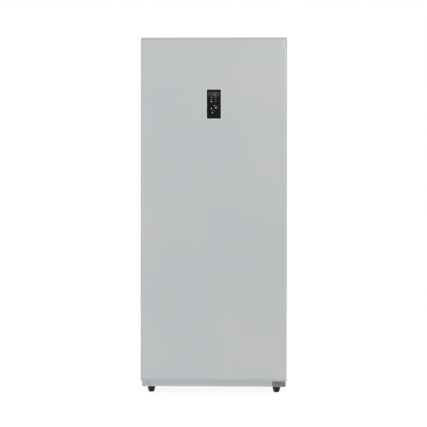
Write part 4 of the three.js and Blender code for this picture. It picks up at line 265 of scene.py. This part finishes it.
def dim_mark():
    finish = Finish("dim_mark", "6E747A", 0.4)
    finish.vary_roughness(finish.noise(300, 2), 0.35, 0.5)
    return finish.blend_colour(finish.noise(300, 2), "7B8187", 0.4, 0.7).material


FINISH_OF_SLOT = {
    "silver_paint": silver_paint(),
    "grey_paint": grey_paint(),
    "black_paint": black_paint(),
    "galvanised": zinc_coated_sheet(),
    "zinc": zinc_plated(),
    "stainless": ground_steel(),
    "aluminium": mill_aluminium(),
    "copper": bare_copper(),
    "silver_plastic": silver_plastic(),
    "white_plastic": white_plastic(),
    "clear_plastic": clear_plastic(),
    "black_plastic": black_plastic(),
    "insulation": cut_foam(),
    "grey_rubber": grey_rubber(),
    "shelf_glass": shelf_glass(),
    "black_glass": black_glass(),
}
LIT_MARK = lit_mark()
DIM_MARK = dim_mark()
WINDOW_GREY = window_grey()


# ---------- bench tools ----------

def only(piece):
    """Leaves just this piece selected and active."""
    bpy.ops.object.select_all(action="DESELECT")
    piece.select_set(True)
    bpy.context.view_layer.objects.active = piece


@contextmanager
def editing(piece, mode="FACE"):
    """Edit mode on one piece with nothing selected; yields its mesh for picking faces and edges."""
    only(piece)
    bpy.ops.object.mode_set(mode="EDIT")
    bpy.ops.mesh.select_mode(type=mode)
    bpy.ops.mesh.select_all(action="DESELECT")
    yield bmesh.from_edit_mesh(piece.data)
    bpy.ops.object.mode_set(mode="OBJECT")


def pick(piece, elements, test):
    """Selects the elements that pass the test."""
    for element in elements:
        element.select_set(bool(test(element)))
    bmesh.update_edit_mesh(piece.data)


def settle(piece):
    """Puts the piece's place into its mesh."""
    only(piece)
    bpy.ops.object.transform_apply(location=True, rotation=True, scale=True)
    return piece


def span(edge, axis):
    """Length of an edge along X, Y or Z."""
    return abs(edge.verts[0].co["XYZ".index(axis)] - edge.verts[1].co["XYZ".index(axis)])


def block(name, low, high):
    low, high = Vector(low), Vector(high)
    bpy.ops.mesh.primitive_cube_add(size=1, location=(low + high) / 2)
    piece = bpy.context.active_object
    piece.name = name
    piece.scale = high - low
    return settle(piece)


def barrel(name, radius, depth, centre=(0, 0, 0), sides=32):
    """A cylinder that lies along Y."""
    bpy.ops.mesh.primitive_cylinder_add(vertices=sides, radius=radius, depth=depth, location=centre,
                                        rotation=(math.pi / 2, 0, 0))
    piece = bpy.context.active_object
    piece.name = name
    return settle(piece)


def apply_modifier(piece, kind, **settings):
    modifier = piece.modifiers.new(kind.lower(), kind)
    for key, value in settings.items():
        setattr(modifier, key, value)
    only(piece)
    bpy.ops.object.modifier_apply(modifier=modifier.name)
    return piece


def cut(piece, *tools):
    """Takes each tool's form out of the piece; the tools are used up."""
    for tool in tools:
        apply_modifier(piece, "BOOLEAN", operation="DIFFERENCE", solver="EXACT", object=tool)
        bpy.data.objects.remove(tool)
    return piece


def soften(piece, width_mm, segments=2, angle=35):
    """Rounds every edge that is sharper than the angle."""
    return apply_modifier(piece, "BEVEL", width=width_mm * MM, segments=segments, limit_method="ANGLE",
                          angle_limit=math.radians(angle), use_clamp_overlap=True)


def smooth(piece, angle=35):
    """Smooth shading that leaves the large flat faces flat."""
    only(piece)
    bpy.ops.object.shade_smooth_by_angle(angle=math.radians(angle))
    return apply_modifier(piece, "WEIGHTED_NORMAL", keep_sharp=True)


def join(name, pieces):
    only(pieces[0])
    for piece in pieces:
        piece.select_set(True)
    bpy.ops.object.join()
    pieces[0].name = name
    return pieces[0]


def copy_of(piece, name, offset):
    copy = bpy.data.objects.new(name, piece.data.copy())
    bpy.context.scene.collection.objects.link(copy)
    copy.data.transform(Matrix.Translation(offset))
    return copy


def fit(piece, body, slot, finish=None, instead_of=()):
    """Gives a finished piece its material, the body it rides on and the nodes it stands for."""
    piece.data.materials.clear()
    piece.data.materials.append(finish or FINISH_OF_SLOT[slot])
    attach(piece, body)
    if instead_of:
        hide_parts(*instead_of)
    return piece


# ---------- the camera and the room ----------

CAMERA_DISTANCE = 4.2    # to the middle of the door's face
CAMERA_HEIGHT = 0.8862
CAMERA_ASIDE = -0.001
CAMERA_TURN = math.radians(1.0)
CAMERA_ROLL = math.radians(-0.07)
CAMERA_LENS = 73.0
FILM_WIDTH = 36
LEFT_SIDE = 0.62         # the room's light from the left
RIGHT_SIDE = 0.92        # and from the right
BEHIND = 0.72            # the share of it that comes from behind the freezer
BELOW = 0.80             # and from under the horizon
FLOOR_LIGHT = 0.42       # what the floor gives the freezer
FLOOR_WHITE = 0.84       # and how bright it is when looked at
FLOOR_SIZE = 6.0
FLOOR_DROP = 0.3 * MM    # floor under the feet
LAMP_WARM = (1.0, 0.985, 0.965)
LAMP_COOL = (0.965, 0.985, 1.0)


def place_camera():
    data = bpy.data.cameras.new("camera")
    data.lens = CAMERA_LENS
    data.sensor_width = FILM_WIDTH
    camera = bpy.data.objects.new("camera", data)
    camera.location = (math.sin(CAMERA_TURN) * CAMERA_DISTANCE + CAMERA_ASIDE,
                       door_low.y - math.cos(CAMERA_TURN) * CAMERA_DISTANCE, CAMERA_HEIGHT)
    camera.rotation_euler = (math.radians(90), CAMERA_ROLL, CAMERA_TURN)
    bpy.context.scene.collection.objects.link(camera)
    bpy.context.scene.camera = camera


def white_when_seen(tree, lighting, bright):
    """One strength where it is looked at, also in a reflection or through glass; another as a light."""
    path = tree.nodes.new("ShaderNodeLightPath")
    seen = path.outputs["Is Camera Ray"]
    for ray in ("Is Glossy Ray", "Is Transmission Ray"):
        either = tree.nodes.new("ShaderNodeMath")
        either.operation = "MAXIMUM"
        tree.links.new(seen, either.inputs[0])
        tree.links.new(path.outputs[ray], either.inputs[1])
        seen = either.outputs[0]
    strength = tree.nodes.new("ShaderNodeMix")
    strength.inputs["B"].default_value = bright
    tree.links.new(seen, strength.inputs["Factor"])
    if isinstance(lighting, float):
        strength.inputs["A"].default_value = lighting
    else:
        tree.links.new(lighting, strength.inputs["A"])
    return strength.outputs["Result"]


def light_room():
    """White where it is looked at; as a light it falls off to the left, behind and below."""
    world = bpy.data.worlds.new("studio")
    bpy.context.scene.world = world
    world.use_nodes = True
    tree = world.node_tree
    new, link = tree.nodes.new, tree.links.new
    background = tree.nodes["Background"]
    background.inputs["Color"].default_value = (1, 1, 1, 1)
    parts = new("ShaderNodeSeparateXYZ")
    link(new("ShaderNodeTexCoord").outputs["Generated"], parts.inputs["Vector"])

    def fall(axis, start, end, first, last):
        node = new("ShaderNodeMapRange")
        node.interpolation_type = "SMOOTHSTEP"
        link(parts.outputs[axis], node.inputs["Value"])
        for socket, value in (("From Min", start), ("From Max", end), ("To Min", first), ("To Max", last)):
            node.inputs[socket].default_value = value
        return node.outputs["Result"]

    def times(one, other):
        node = new("ShaderNodeMath")
        node.operation = "MULTIPLY"
        link(one, node.inputs[0])
        link(other, node.inputs[1])
        return node.outputs[0]

    lighting = times(fall("X", -1.0, 0.3, LEFT_SIDE, RIGHT_SIDE), fall("Y", -0.1, 0.6, 1.0, BEHIND))
    lighting = times(lighting, fall("Z", -0.12, 0.1, BELOW, 1.0))
    link(white_when_seen(tree, lighting, 1.0), background.inputs["Strength"])


def area_lamp(name, place, aim, size, power, colour):
    data = bpy.data.lights.new(name, "AREA")
    data.shape = "RECTANGLE"
    data.size, data.size_y = size
    data.energy = power
    data.color = colour
    lamp = bpy.data.objects.new(name, data)
    lamp.location = place
    lamp.rotation_euler = (Vector(aim) - Vector(place)).to_track_quat("-Z", "Y").to_euler()
    bpy.context.scene.collection.objects.link(lamp)


def lay_floor():
    bpy.ops.mesh.primitive_plane_add(size=FLOOR_SIZE, location=(0, 0, -FLOOR_DROP))
    floor = bpy.context.active_object
    floor.name = "floor"
    finish = Finish("lit_floor", "8C8C8C", 0.9)
    finish.shader.inputs["Emission Color"].default_value = (1, 1, 1, 1)
    finish.link(white_when_seen(finish.tree, FLOOR_LIGHT, FLOOR_WHITE),
                finish.shader.inputs["Emission Strength"])
    finish.relief(finish.noise(60, 2), 0.05, 0.1)
    finish.blend_colour(finish.noise(0.5, 2), "8E8E8E")
    settle(floor)
    floor.data.materials.append(finish.material)


place_camera()
light_room()
area_lamp("key", place=(2.2, -3.4, 3.4), aim=(0.1, -0.3, 1.75), size=(1.8, 1.8), power=34, colour=LAMP_WARM)
area_lamp("left_strip", place=(-2.2, -3.6, 1.1), aim=(-0.3, -0.3, 0.9), size=(0.25, 3.0), power=12,
          colour=LAMP_COOL)
lay_floor()


# ---------- pieces that keep the node's own form, with broken edges ----------

SAME_POINT = 0.02 * MM
SAME_PLANE = math.radians(0.6)
SLIVER = 0.012 * MM


def refined(node, width_mm):
    """The node's form as a closed mesh, with its edges broken and its shading smoothed."""
    mesh = frame["nodes"][node].data.copy()
    mesh.materials.clear()
    piece = bpy.data.objects.new(f"{node}_finished", mesh)
    bpy.context.scene.collection.objects.link(piece)
    only(piece)
    bpy.ops.mesh.customdata_custom_splitnormals_clear()
    with editing(piece, "VERT"):
        bpy.ops.mesh.select_all(action="SELECT")
        bpy.ops.mesh.remove_doubles(threshold=SAME_POINT)
        bpy.ops.mesh.dissolve_limited(angle_limit=SAME_PLANE)
    if width_mm:
        soften(piece, width_mm)
        with editing(piece, "VERT"):
            bpy.ops.mesh.select_all(action="SELECT")
            bpy.ops.mesh.dissolve_degenerate(threshold=SLIVER)
    smooth(piece)
    return fit(piece, BODY_OF[node], SLOT_OF[node], instead_of=(node,))


# how far each node's edges are broken, in millimetres
EDGE_BREAKS = {
    "door_top_cap": 1.2, "door_bottom_cap": 1.0, "door_liner": 0.8, "door_gasket": 1.0, "handle_pocket": 0.8,
    "front_rail": 0.5, "inner_liner": 0.8, "back_panel": 0.25, "machine_cover": 0.3, "base_pan": 0.25,
    "compressor_deck": 0.6, "compressor": 1.2, "relay_cover": 1.5, "condenser_fan_shroud": 0.5,
    "condenser_fan_motor": 0.6, "condenser_fan": 0.2, "condenser_coil": 0.2, "cord_gland": 0.6,
    "drain_pan": 0.6, "drain_tube": 0.4, "filter_drier": 0.5, "suction_line": 0.0, "evaporator_coil": 0.2,
    "defrost_heater": 0.0, "evaporator_fan_motor": 0.6, "evaporator_fan": 0.2, "duct_cover": 0.6,
    "lamp_lens": 1.0, "lower_basket": 0.9, "foot_left": 0.8, "foot_right": 0.8, "roller_left": 0.5,
    "roller_right": 0.5, "roller_axle_left": 0.3, "roller_axle_right": 0.3, "top_hinge_bracket": 0.5,
    "top_hinge_pin": 0.4, "top_hinge_cover": 0.9, "bottom_hinge_bracket": 0.5, "bottom_hinge_pin": 0.3,
    "wall_spacer_left": 1.0, "wall_spacer_right": 1.0, "display_housing": 0.3, "cabinet_foam": 0.0,
    "door_foam": 0.0,
}
for number in range(1, 5):
    EDGE_BREAKS[f"door_bin_{number}"] = 0.8
    EDGE_BREAKS[f"shelf_trim_{number}"] = 0.9
    EDGE_BREAKS[f"shelf_glass_{number}"] = 0.6
for node, width in EDGE_BREAKS.items():
    refined(node, width)


# ---------- door skin and cabinet sheet ----------

SHEET = 1.0 * MM
DOOR_ROLL = 12 * MM      # radius of the door's upright front edges
DOOR_RETURN = 16 * MM    # fold round the back of the door's skin
WRAP_ROLL = 8 * MM       # where the cabinet's sides turn into its top
WRAP_FACE = 44 * MM      # face that the gasket closes on
WRAP_HEM = 12 * MM       # fold under each side
SLACK = 0.3 * MM
PAST = 10 * MM           # how far a cut runs past what it opens
LEG_WIDTH = 12 * MM      # leg of the top cap, beside the skin
LEG_TALL = 48 * MM
# the strip below is a painted highlight along the edge beside the top cap's leg
STRIP_WIDTH = 4.5 * MM
STRIP_SUNK = 0.2 * MM    # behind the door's face
STRIP_DEPTH = 3 * MM
STRIP_DROP = 10.4 * MM   # below the top of the cap
TAIL_ROOM = 14 * MM      # the skin's fold ends this far before the hinge pin
TAIL_DEPTH = 4 * MM
GRIP_LAP = 2.7 * MM      # rim of the grip over the edge of its hole
GRIP_ROUND_MM = 13
GRIP_CUT_OUT = 40 * MM   # reach of that hole's cutter outside and inside the door's edge
GRIP_CUT_IN = 30 * MM
TRIM_WIDTH = 2.8 * MM
DISPLAY_ROUND = 5 * MM
ROLL_STEPS = 10
CORNER_STEPS = 8
FINE = 0.05 * MM         # an edge that spans more than this along an axis runs along it
ALONG = 0.9              # and a face whose normal has this much of an axis looks along it

cap_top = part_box("door_top_cap")[1].z
leg_low = cap_top - LEG_TALL - SLACK


def round_edges(piece, radius, steps, test):
    with editing(piece, "EDGE") as mesh:
        pick(piece, mesh.edges, test)
        bpy.ops.mesh.bevel(offset=radius, segments=steps, affect="EDGES")
    return piece


def rounded_plate(name, low, high, radius):
    """A block whose four edges along Y are rounded."""
    return round_edges(block(name, low, high), radius, CORNER_STEPS, lambda e: span(e, "Y") > FINE)


def open_up(piece, test):
    """Takes off the faces that pass the test."""
    with editing(piece) as mesh:
        pick(piece, mesh.faces, test)
        bpy.ops.mesh.delete(type="FACE")


def give_thickness(piece):
    apply_modifier(piece, "SOLIDIFY", thickness=SHEET, offset=-1, use_even_offset=True)


def display_hole():
    around = Vector((TRIM_WIDTH + SLACK, PAST, TRIM_WIDTH + SLACK))
    return rounded_plate("window", glass_low - around, glass_high + around, DISPLAY_ROUND + TRIM_WIDTH)


def grip_hole():
    low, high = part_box("handle_pocket")
    mouth = block("mouth", (door_low.x - GRIP_CUT_OUT, low.y + GRIP_LAP, low.z + GRIP_LAP),
                  (door_low.x + GRIP_CUT_IN, high.y - GRIP_LAP, high.z - GRIP_LAP))
    return soften(mouth, GRIP_ROUND_MM, segments=6)


def hinge_corner():
    """Room for the leg of the top cap and the painted-highlight strip beside it, and behind them for the
    hinge.
    """
    end = (door_high.x + PAST, door_high.y + PAST, door_high.z + PAST)
    left = door_high.x - LEG_WIDTH - STRIP_WIDTH - 2 * SLACK
    corner = block("corner", (left, door_low.y - PAST, leg_low), end)
    tail = block("tail", (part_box("top_hinge_pin")[0].x - TAIL_ROOM, door_high.y - TAIL_DEPTH, leg_low), end)
    return corner, tail


def door_face():
    skin = round_edges(block("door_face", door_low, door_high), DOOR_ROLL, ROLL_STEPS, lambda e: (
        span(e, "Z") > FINE and all(v.co.y < door_low.y + MM for v in e.verts)))
    open_up(skin, lambda f: abs(f.normal.z) > ALONG)
    with editing(skin) as mesh:
        pick(skin, mesh.faces, lambda f: f.normal.y > ALONG)
        bpy.ops.mesh.inset(thickness=DOOR_RETURN, use_boundary=False)
        bpy.ops.mesh.delete(type="FACE")
    give_thickness(skin)
    cut(skin, display_hole(), grip_hole(), *hinge_corner())
    smooth(skin, 30)
    return fit(skin, "door", "silver_paint", instead_of=("door_skin",))


def round_top(piece):
    """Rounds the two edges where the sides turn into the top."""
    return round_edges(piece, WRAP_ROLL, CORNER_STEPS, lambda e: (
        span(e, "Y") > FINE and all(v.co.z > wrap_high.z - MM for v in e.verts)))


def cabinet_sheet():
    sheet = round_top(block("cabinet_sheet", wrap_low, wrap_high))
    open_up(sheet, lambda f: abs(f.normal.y) > ALONG or f.normal.z < -ALONG)
    give_thickness(sheet)
    face = round_top(block("gasket_face", wrap_low, (wrap_high.x, wrap_low.y + SHEET, wrap_high.z)))
    cut(face, block("mouth", (wrap_low.x + WRAP_FACE, wrap_low.y - PAST, wrap_low.z - PAST),
                    (wrap_high.x - WRAP_FACE, wrap_low.y + PAST, wrap_high.z - WRAP_FACE)))
    hems = [block("hem", (side * (wrap_high.x - WRAP_HEM), wrap_low.y + SHEET, wrap_low.z),
                  (side * (wrap_high.x - SHEET), wrap_high.y, wrap_low.z + SHEET)) for side in (-1, 1)]
    for part in [face, *hems]:
        apply_modifier(sheet, "BOOLEAN", operation="UNION", solver="EXACT", object=part)
        bpy.data.objects.remove(part)
    smooth(sheet, 30)
    return fit(sheet, "root", "silver_paint", instead_of=("cabinet_wrap",))


def painted_highlight_strip():
    """White strip in the joint between the skin and the leg of the top cap; a painted highlight for light
    caught on that edge.
    """
    right = door_high.x - LEG_WIDTH - SLACK
    strip = block("painted_highlight_strip", (right - STRIP_WIDTH, door_low.y + STRIP_SUNK, cap_top - LEG_TALL),
                  (right, door_low.y + STRIP_DEPTH, cap_top - STRIP_DROP))
    soften(strip, 0.6)
    smooth(strip)
    return fit(strip, "door", "white_plastic")


door_face()
cabinet_sheet()
# a white strip painted in as the highlight on the edge beside the cap's leg
painted_highlight_strip()


# ---------- display ----------

MARK_PROUD = 0.12 * MM   # room for the marks in front of the pane
MARK_LIFT = 0.9          # share of it that a mark takes up
WINDOW_LIFT = 0.27       # and that the window takes up
PANE_SLACK = 0.1 * MM
WINDOW_RISE = 48.5 * MM
WINDOW_WIDE = 57 * MM
WINDOW_TALL = 23 * MM
WINDOW_ROUND = 2 * MM
ARC_LAP = 1.12           # bars of an arc run into each other by this much
DISPLAY_X = (glass_low.x + glass_high.x) / 2
DISPLAY_Z = (glass_low.z + glass_high.z) / 2


def on_the_pane(x, z):
    return Vector((DISPLAY_X + x, glass_low.y + MARK_PROUD, DISPLAY_Z + z))


def display_pane():
    pane = rounded_plate("display_pane", (glass_low.x, glass_low.y + MARK_PROUD, glass_low.z), glass_high,
                         DISPLAY_ROUND)
    soften(pane, 0.5, segments=3, angle=60)
    smooth(pane, 40)
    return fit(pane, "door", "black_glass", instead_of=("display_glass",))


def display_trim():
    around = Vector((TRIM_WIDTH, 0, TRIM_WIDTH))
    trim = rounded_plate("display_trim", glass_low - around, glass_high + around, DISPLAY_ROUND + TRIM_WIDTH)
    clear = Vector((PANE_SLACK, PAST, PANE_SLACK))
    cut(trim, rounded_plate("pane_room", glass_low - clear, glass_high + clear, DISPLAY_ROUND))
    soften(trim, 0.3)
    smooth(trim)
    return fit(trim, "door", "white_plastic")


def mark(x_mm, z_mm, wide_mm, tall_mm, turn=0.0, proud=1.0):
    """A raised bar on the pane, placed from the display's middle."""
    centre = on_the_pane(x_mm * MM, z_mm * MM)
    half = Vector((wide_mm / 2, 0, tall_mm / 2)) * MM
    front = Vector((0, MARK_PROUD * MARK_LIFT * proud, 0))
    bar = block("bar", centre - half - front, centre + half + Vector((0, MARK_PROUD, 0)))
    if turn:
        spin = Matrix.Translation(centre) @ Matrix.Rotation(turn, 4, "Y") @ Matrix.Translation(-centre)
        bar.data.transform(spin)
    return bar


def arc_marks(x_mm, z_mm, radius_mm, width_mm, start, end, steps):
    """A curved line of short bars, from one angle to another, in degrees."""
    bars = []
    length = 2 * math.pi * radius_mm * abs(end - start) / 360 / steps * ARC_LAP
    for step in range(steps):
        angle = math.radians(start + (end - start) * (step + 0.5) / steps)
        x, z = x_mm + radius_mm * math.cos(angle), z_mm + radius_mm * math.sin(angle)
        bars.append(mark(x, z, width_mm, length, -angle))
    return bars


# places and sizes of the marks are in millimetres from the display's middle; the strokes that a figure
# lights are told from the top: top, upper left, upper right, middle, lower left, lower right, bottom
STROKES = {"1": "0010010", "8": "1111111", "-": "0001000"}
STROKE_PLACES = [(0, 2, 1), (-1, 1, 0), (1, 1, 0), (0, 0, 1), (-1, -1, 0), (1, -1, 0), (0, -2, 1)]
FIGURE_HALF = 3.2        # half the width and a quarter of the height of a figure
FIGURE_STEP = 10.5
FIRST_FIGURE = (-14, 47)
STROKE = 1.3
STROKE_LEVEL = 5.12      # length of a level stroke and of an upright one
STROKE_UPRIGHT = 5.44
ROW_TOP = 33             # rows of two short marks under the window
ROW_STEP = 10.5
LIT_CROSSES = ((3, -7, 3.2), (9.5, -18, 5.0), (-12, -21, 4.2), (-6, -42, 3.6), (-12, 12, 4.0))  # x, z, size


def figure(character, x_mm, z_mm):
    bars = []
    for lit, (across, up, level) in zip(STROKES[character], STROKE_PLACES):
        if lit == "1":
            size = (STROKE_LEVEL, STROKE) if level else (STROKE, STROKE_UPRIGHT)
            bars.append(mark(x_mm + across * FIGURE_HALF, z_mm + up * FIGURE_HALF, *size))
    return bars


def display_marks():
    centre = on_the_pane(0, WINDOW_RISE)
    half = Vector((WINDOW_WIDE / 2, MARK_PROUD * WINDOW_LIFT, WINDOW_TALL / 2))
    window = rounded_plate("display_window", centre - half, centre + half, WINDOW_ROUND)
    fit(window, "door", "black_glass", WINDOW_GREY)
    dim = arc_marks(13, 51, 1.6, 0.8, 0, 360, 10)
    for place, character in enumerate("-18"):
        dim += figure(character, FIRST_FIGURE[0] + place * FIGURE_STEP, FIRST_FIGURE[1])
    for row in range(3):
        height = ROW_TOP - row * ROW_STEP
        dim += [mark(-12, height, 11, 2.2), mark(8, height, 9, 1.8)]
    dim += arc_marks(11, -17, 8.5, 1.2, -30, 150, 12)
    dim += arc_marks(0, -38, 7.5, 1.0, 20, 160, 8) + arc_marks(-6, -38, 4.2, 1.0, 135, 315, 4)
    fit(join("display_marks", dim), "door", "black_glass", DIM_MARK)
    lit = []
    for x, z, size in LIT_CROSSES:
        lit += [mark(x, z, size, size / 2), mark(x, z, size / 2, size, proud=1.05)]
    fit(join("lit_marks", lit), "door", "black_glass", LIT_MARK)


display_pane()
display_trim()
display_marks()


# ---------- screws and bolts ----------

SCREW_SIDES = 28
HEAD_ROUND = 0.8         # rounding of a screw's head, as a share of its rise
CROSS_REACH = 0.62       # arms of the cross, as a share of the head's radius
CROSS_WIDTH = 0.14
CROSS_DEPTH = 0.55       # and its depth as a share of the head's rise
WASHER_SHEET = 2.4 * MM
WASHER_FACE = 1.1        # a bolt's head begins this far in front of the washer's middle, in millimetres
HINGE_BOLT = (5.2, 3.2, 7.0)


def cross_screw(radius_mm=4.0, rise_mm=2.2):
    """A round head with a cross in it; it looks along -Y from the origin."""
    head = barrel("screw", radius_mm * MM, 2 * rise_mm * MM, sides=SCREW_SIDES)
    soften(head, rise_mm * HEAD_ROUND, segments=4)
    arm = radius_mm * CROSS_REACH * MM
    slot = radius_mm * CROSS_WIDTH * MM
    sunk = rise_mm * CROSS_DEPTH * MM
    for wide, tall in ((arm, slot), (slot, arm)):
        cut(head, block("slot", (-wide, -PAST, -tall), (wide, sunk - rise_mm * MM, tall)))
    return head


def hexagon_bolt(radius_mm, rise_mm, washer_mm):
    """A bolt's head on its washer; it looks along -Y from the origin."""
    washer = barrel("washer", washer_mm * MM, WASHER_SHEET)
    head = barrel("head", radius_mm * MM, rise_mm * MM, (0, -(WASHER_FACE + rise_mm / 2) * MM, 0), sides=6)
    soften(washer, 0.3)
    soften(head, 0.5)
    return join("bolt", [washer, head])


def set_in_place(master, name, places, turn=None):
    """Copies of one fastener at its places, as one piece; the master is used up."""
    if turn:
        master.data.transform(turn)
    copies = [copy_of(master, name, Vector(place)) for place in places]
    bpy.data.objects.remove(master)
    return smooth(join(name, copies))


TO_THE_BACK = Matrix.Rotation(math.pi, 4, "Z")
TO_THE_TOP = Matrix.Rotation(-math.pi / 2, 4, "X")
BRACKET_SHEET = 4 * MM
BRACKET_SHARES = (0.22, 0.5, 0.78)   # places of the bolts along the lower bracket
BRACKET_RISE = 15 * MM
PLATE_SIDE = 12 * MM     # two bolts from the upper bracket's sides and back, and the third from its back
PLATE_BACK = 14 * MM
PLATE_THIRD = 50 * MM
SCREW_EDGE = 9 * MM      # screws from the edge of a cover
PANEL_ROWS = 6
PANEL_END = 40 * MM      # first and last row from the panel's ends
PANEL_TOP_SCREW = 87 * MM
DUCT_SIDE = 22 * MM
DUCT_END = 30 * MM
NUT_RISE = 21.7 * MM     # nuts above the compressor's lowest point
NUT_SIDE = 11 * MM
NUT_END = 14 * MM


def bracket_bolts():
    low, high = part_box("bottom_hinge_bracket")
    face = wrap_low.y - SLACK - BRACKET_SHEET
    places = [(low.x + (high.x - low.x) * share, face, low.z + BRACKET_RISE) for share in BRACKET_SHARES]
    fit(set_in_place(hexagon_bolt(*HINGE_BOLT), "bracket_bolts", places), "root", "zinc")
    low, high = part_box("top_hinge_bracket")
    places = [(x, high.y - PLATE_BACK, high.z) for x in (low.x + PLATE_SIDE, high.x - PLATE_SIDE)]
    places += [((low.x + high.x) / 2, high.y - PLATE_THIRD, high.z)]
    fit(set_in_place(hexagon_bolt(*HINGE_BOLT), "top_hinge_bolts", places, TO_THE_TOP), "root", "zinc")


def cover_screws():
    face = wrap_high.y
    low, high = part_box("machine_cover")
    places = [(x, face, z) for z in (low.z + SCREW_EDGE, high.z - SCREW_EDGE)
              for x in (low.x + SCREW_EDGE, low.x / 2, 0, high.x / 2, high.x - SCREW_EDGE)]
    fit(set_in_place(cross_screw(), "machine_cover_screws", places, TO_THE_BACK), "root", "zinc")
    low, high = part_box("back_panel")
    step = (high.z - low.z - 2 * PANEL_END) / (PANEL_ROWS - 1)
    places = [(x, face, low.z + PANEL_END + step * row) for x in (low.x + SCREW_EDGE, high.x - SCREW_EDGE)
              for row in range(PANEL_ROWS)]
    places += [(x, face, high.z - SCREW_EDGE)
               for x in (low.x / 4 + PANEL_TOP_SCREW, 0.0, high.x / 4 - PANEL_TOP_SCREW)]
    fit(set_in_place(cross_screw(), "back_panel_screws", places, TO_THE_BACK), "root", "zinc")


def duct_screws():
    low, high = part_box("duct_cover")
    places = [(x, low.y, z) for x in (low.x + DUCT_SIDE, high.x - DUCT_SIDE)
              for z in (low.z + DUCT_END, (low.z + high.z) / 2, high.z - DUCT_END)]
    fit(set_in_place(cross_screw(4.5, 1.6), "duct_screws", places), "root", "white_plastic")


def compressor_nuts():
    low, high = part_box("compressor")
    places = [(x, y, low.z + NUT_RISE) for x in (low.x + NUT_SIDE, high.x - NUT_SIDE)
              for y in (low.y + NUT_END, high.y - NUT_END)]
    fit(set_in_place(hexagon_bolt(5.5, 5.0, 9.0), "compressor_nuts", places, TO_THE_TOP), "root", "zinc")


bracket_bolts()
cover_screws()
duct_screws()
compressor_nuts()


# ---------- fins of the two coils ----------

FIN_CORNER = 3 * MM
FIN_STEPS = 3
FIN_INSET = 1.5 * MM     # fins inside the coil's outline
PLATE_INSET = 14 * MM    # end plates from the bends of the pipe


def coil_fins(node, slot, pitch, sheet):
    """Thin sheets at one pitch between the end plates of a coil."""
    low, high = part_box(node)
    first, last = low.x + PLATE_INSET + pitch, high.x - PLATE_INSET - pitch
    fin = block(f"{node}_fins", (first, low.y + FIN_INSET, low.z + FIN_INSET),
                (first + sheet, high.y - FIN_INSET, high.z - FIN_INSET))
    round_edges(fin, FIN_CORNER, FIN_STEPS, lambda e: span(e, "X") > FINE)
    apply_modifier(fin, "ARRAY", count=int((last - first) / pitch) + 1, use_relative_offset=False,
                   use_constant_offset=True, constant_offset_displace=(pitch, 0, 0))
    return fit(fin, "root", slot)


coil_fins("evaporator_coil", "aluminium", 6.5 * MM, 0.35 * MM)
coil_fins("condenser_coil", "black_paint", 5.0 * MM, 0.4 * MM)


# ---------- last lines ----------

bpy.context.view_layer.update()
scene = bpy.context.scene
scene.view_settings.view_transform = "Standard"
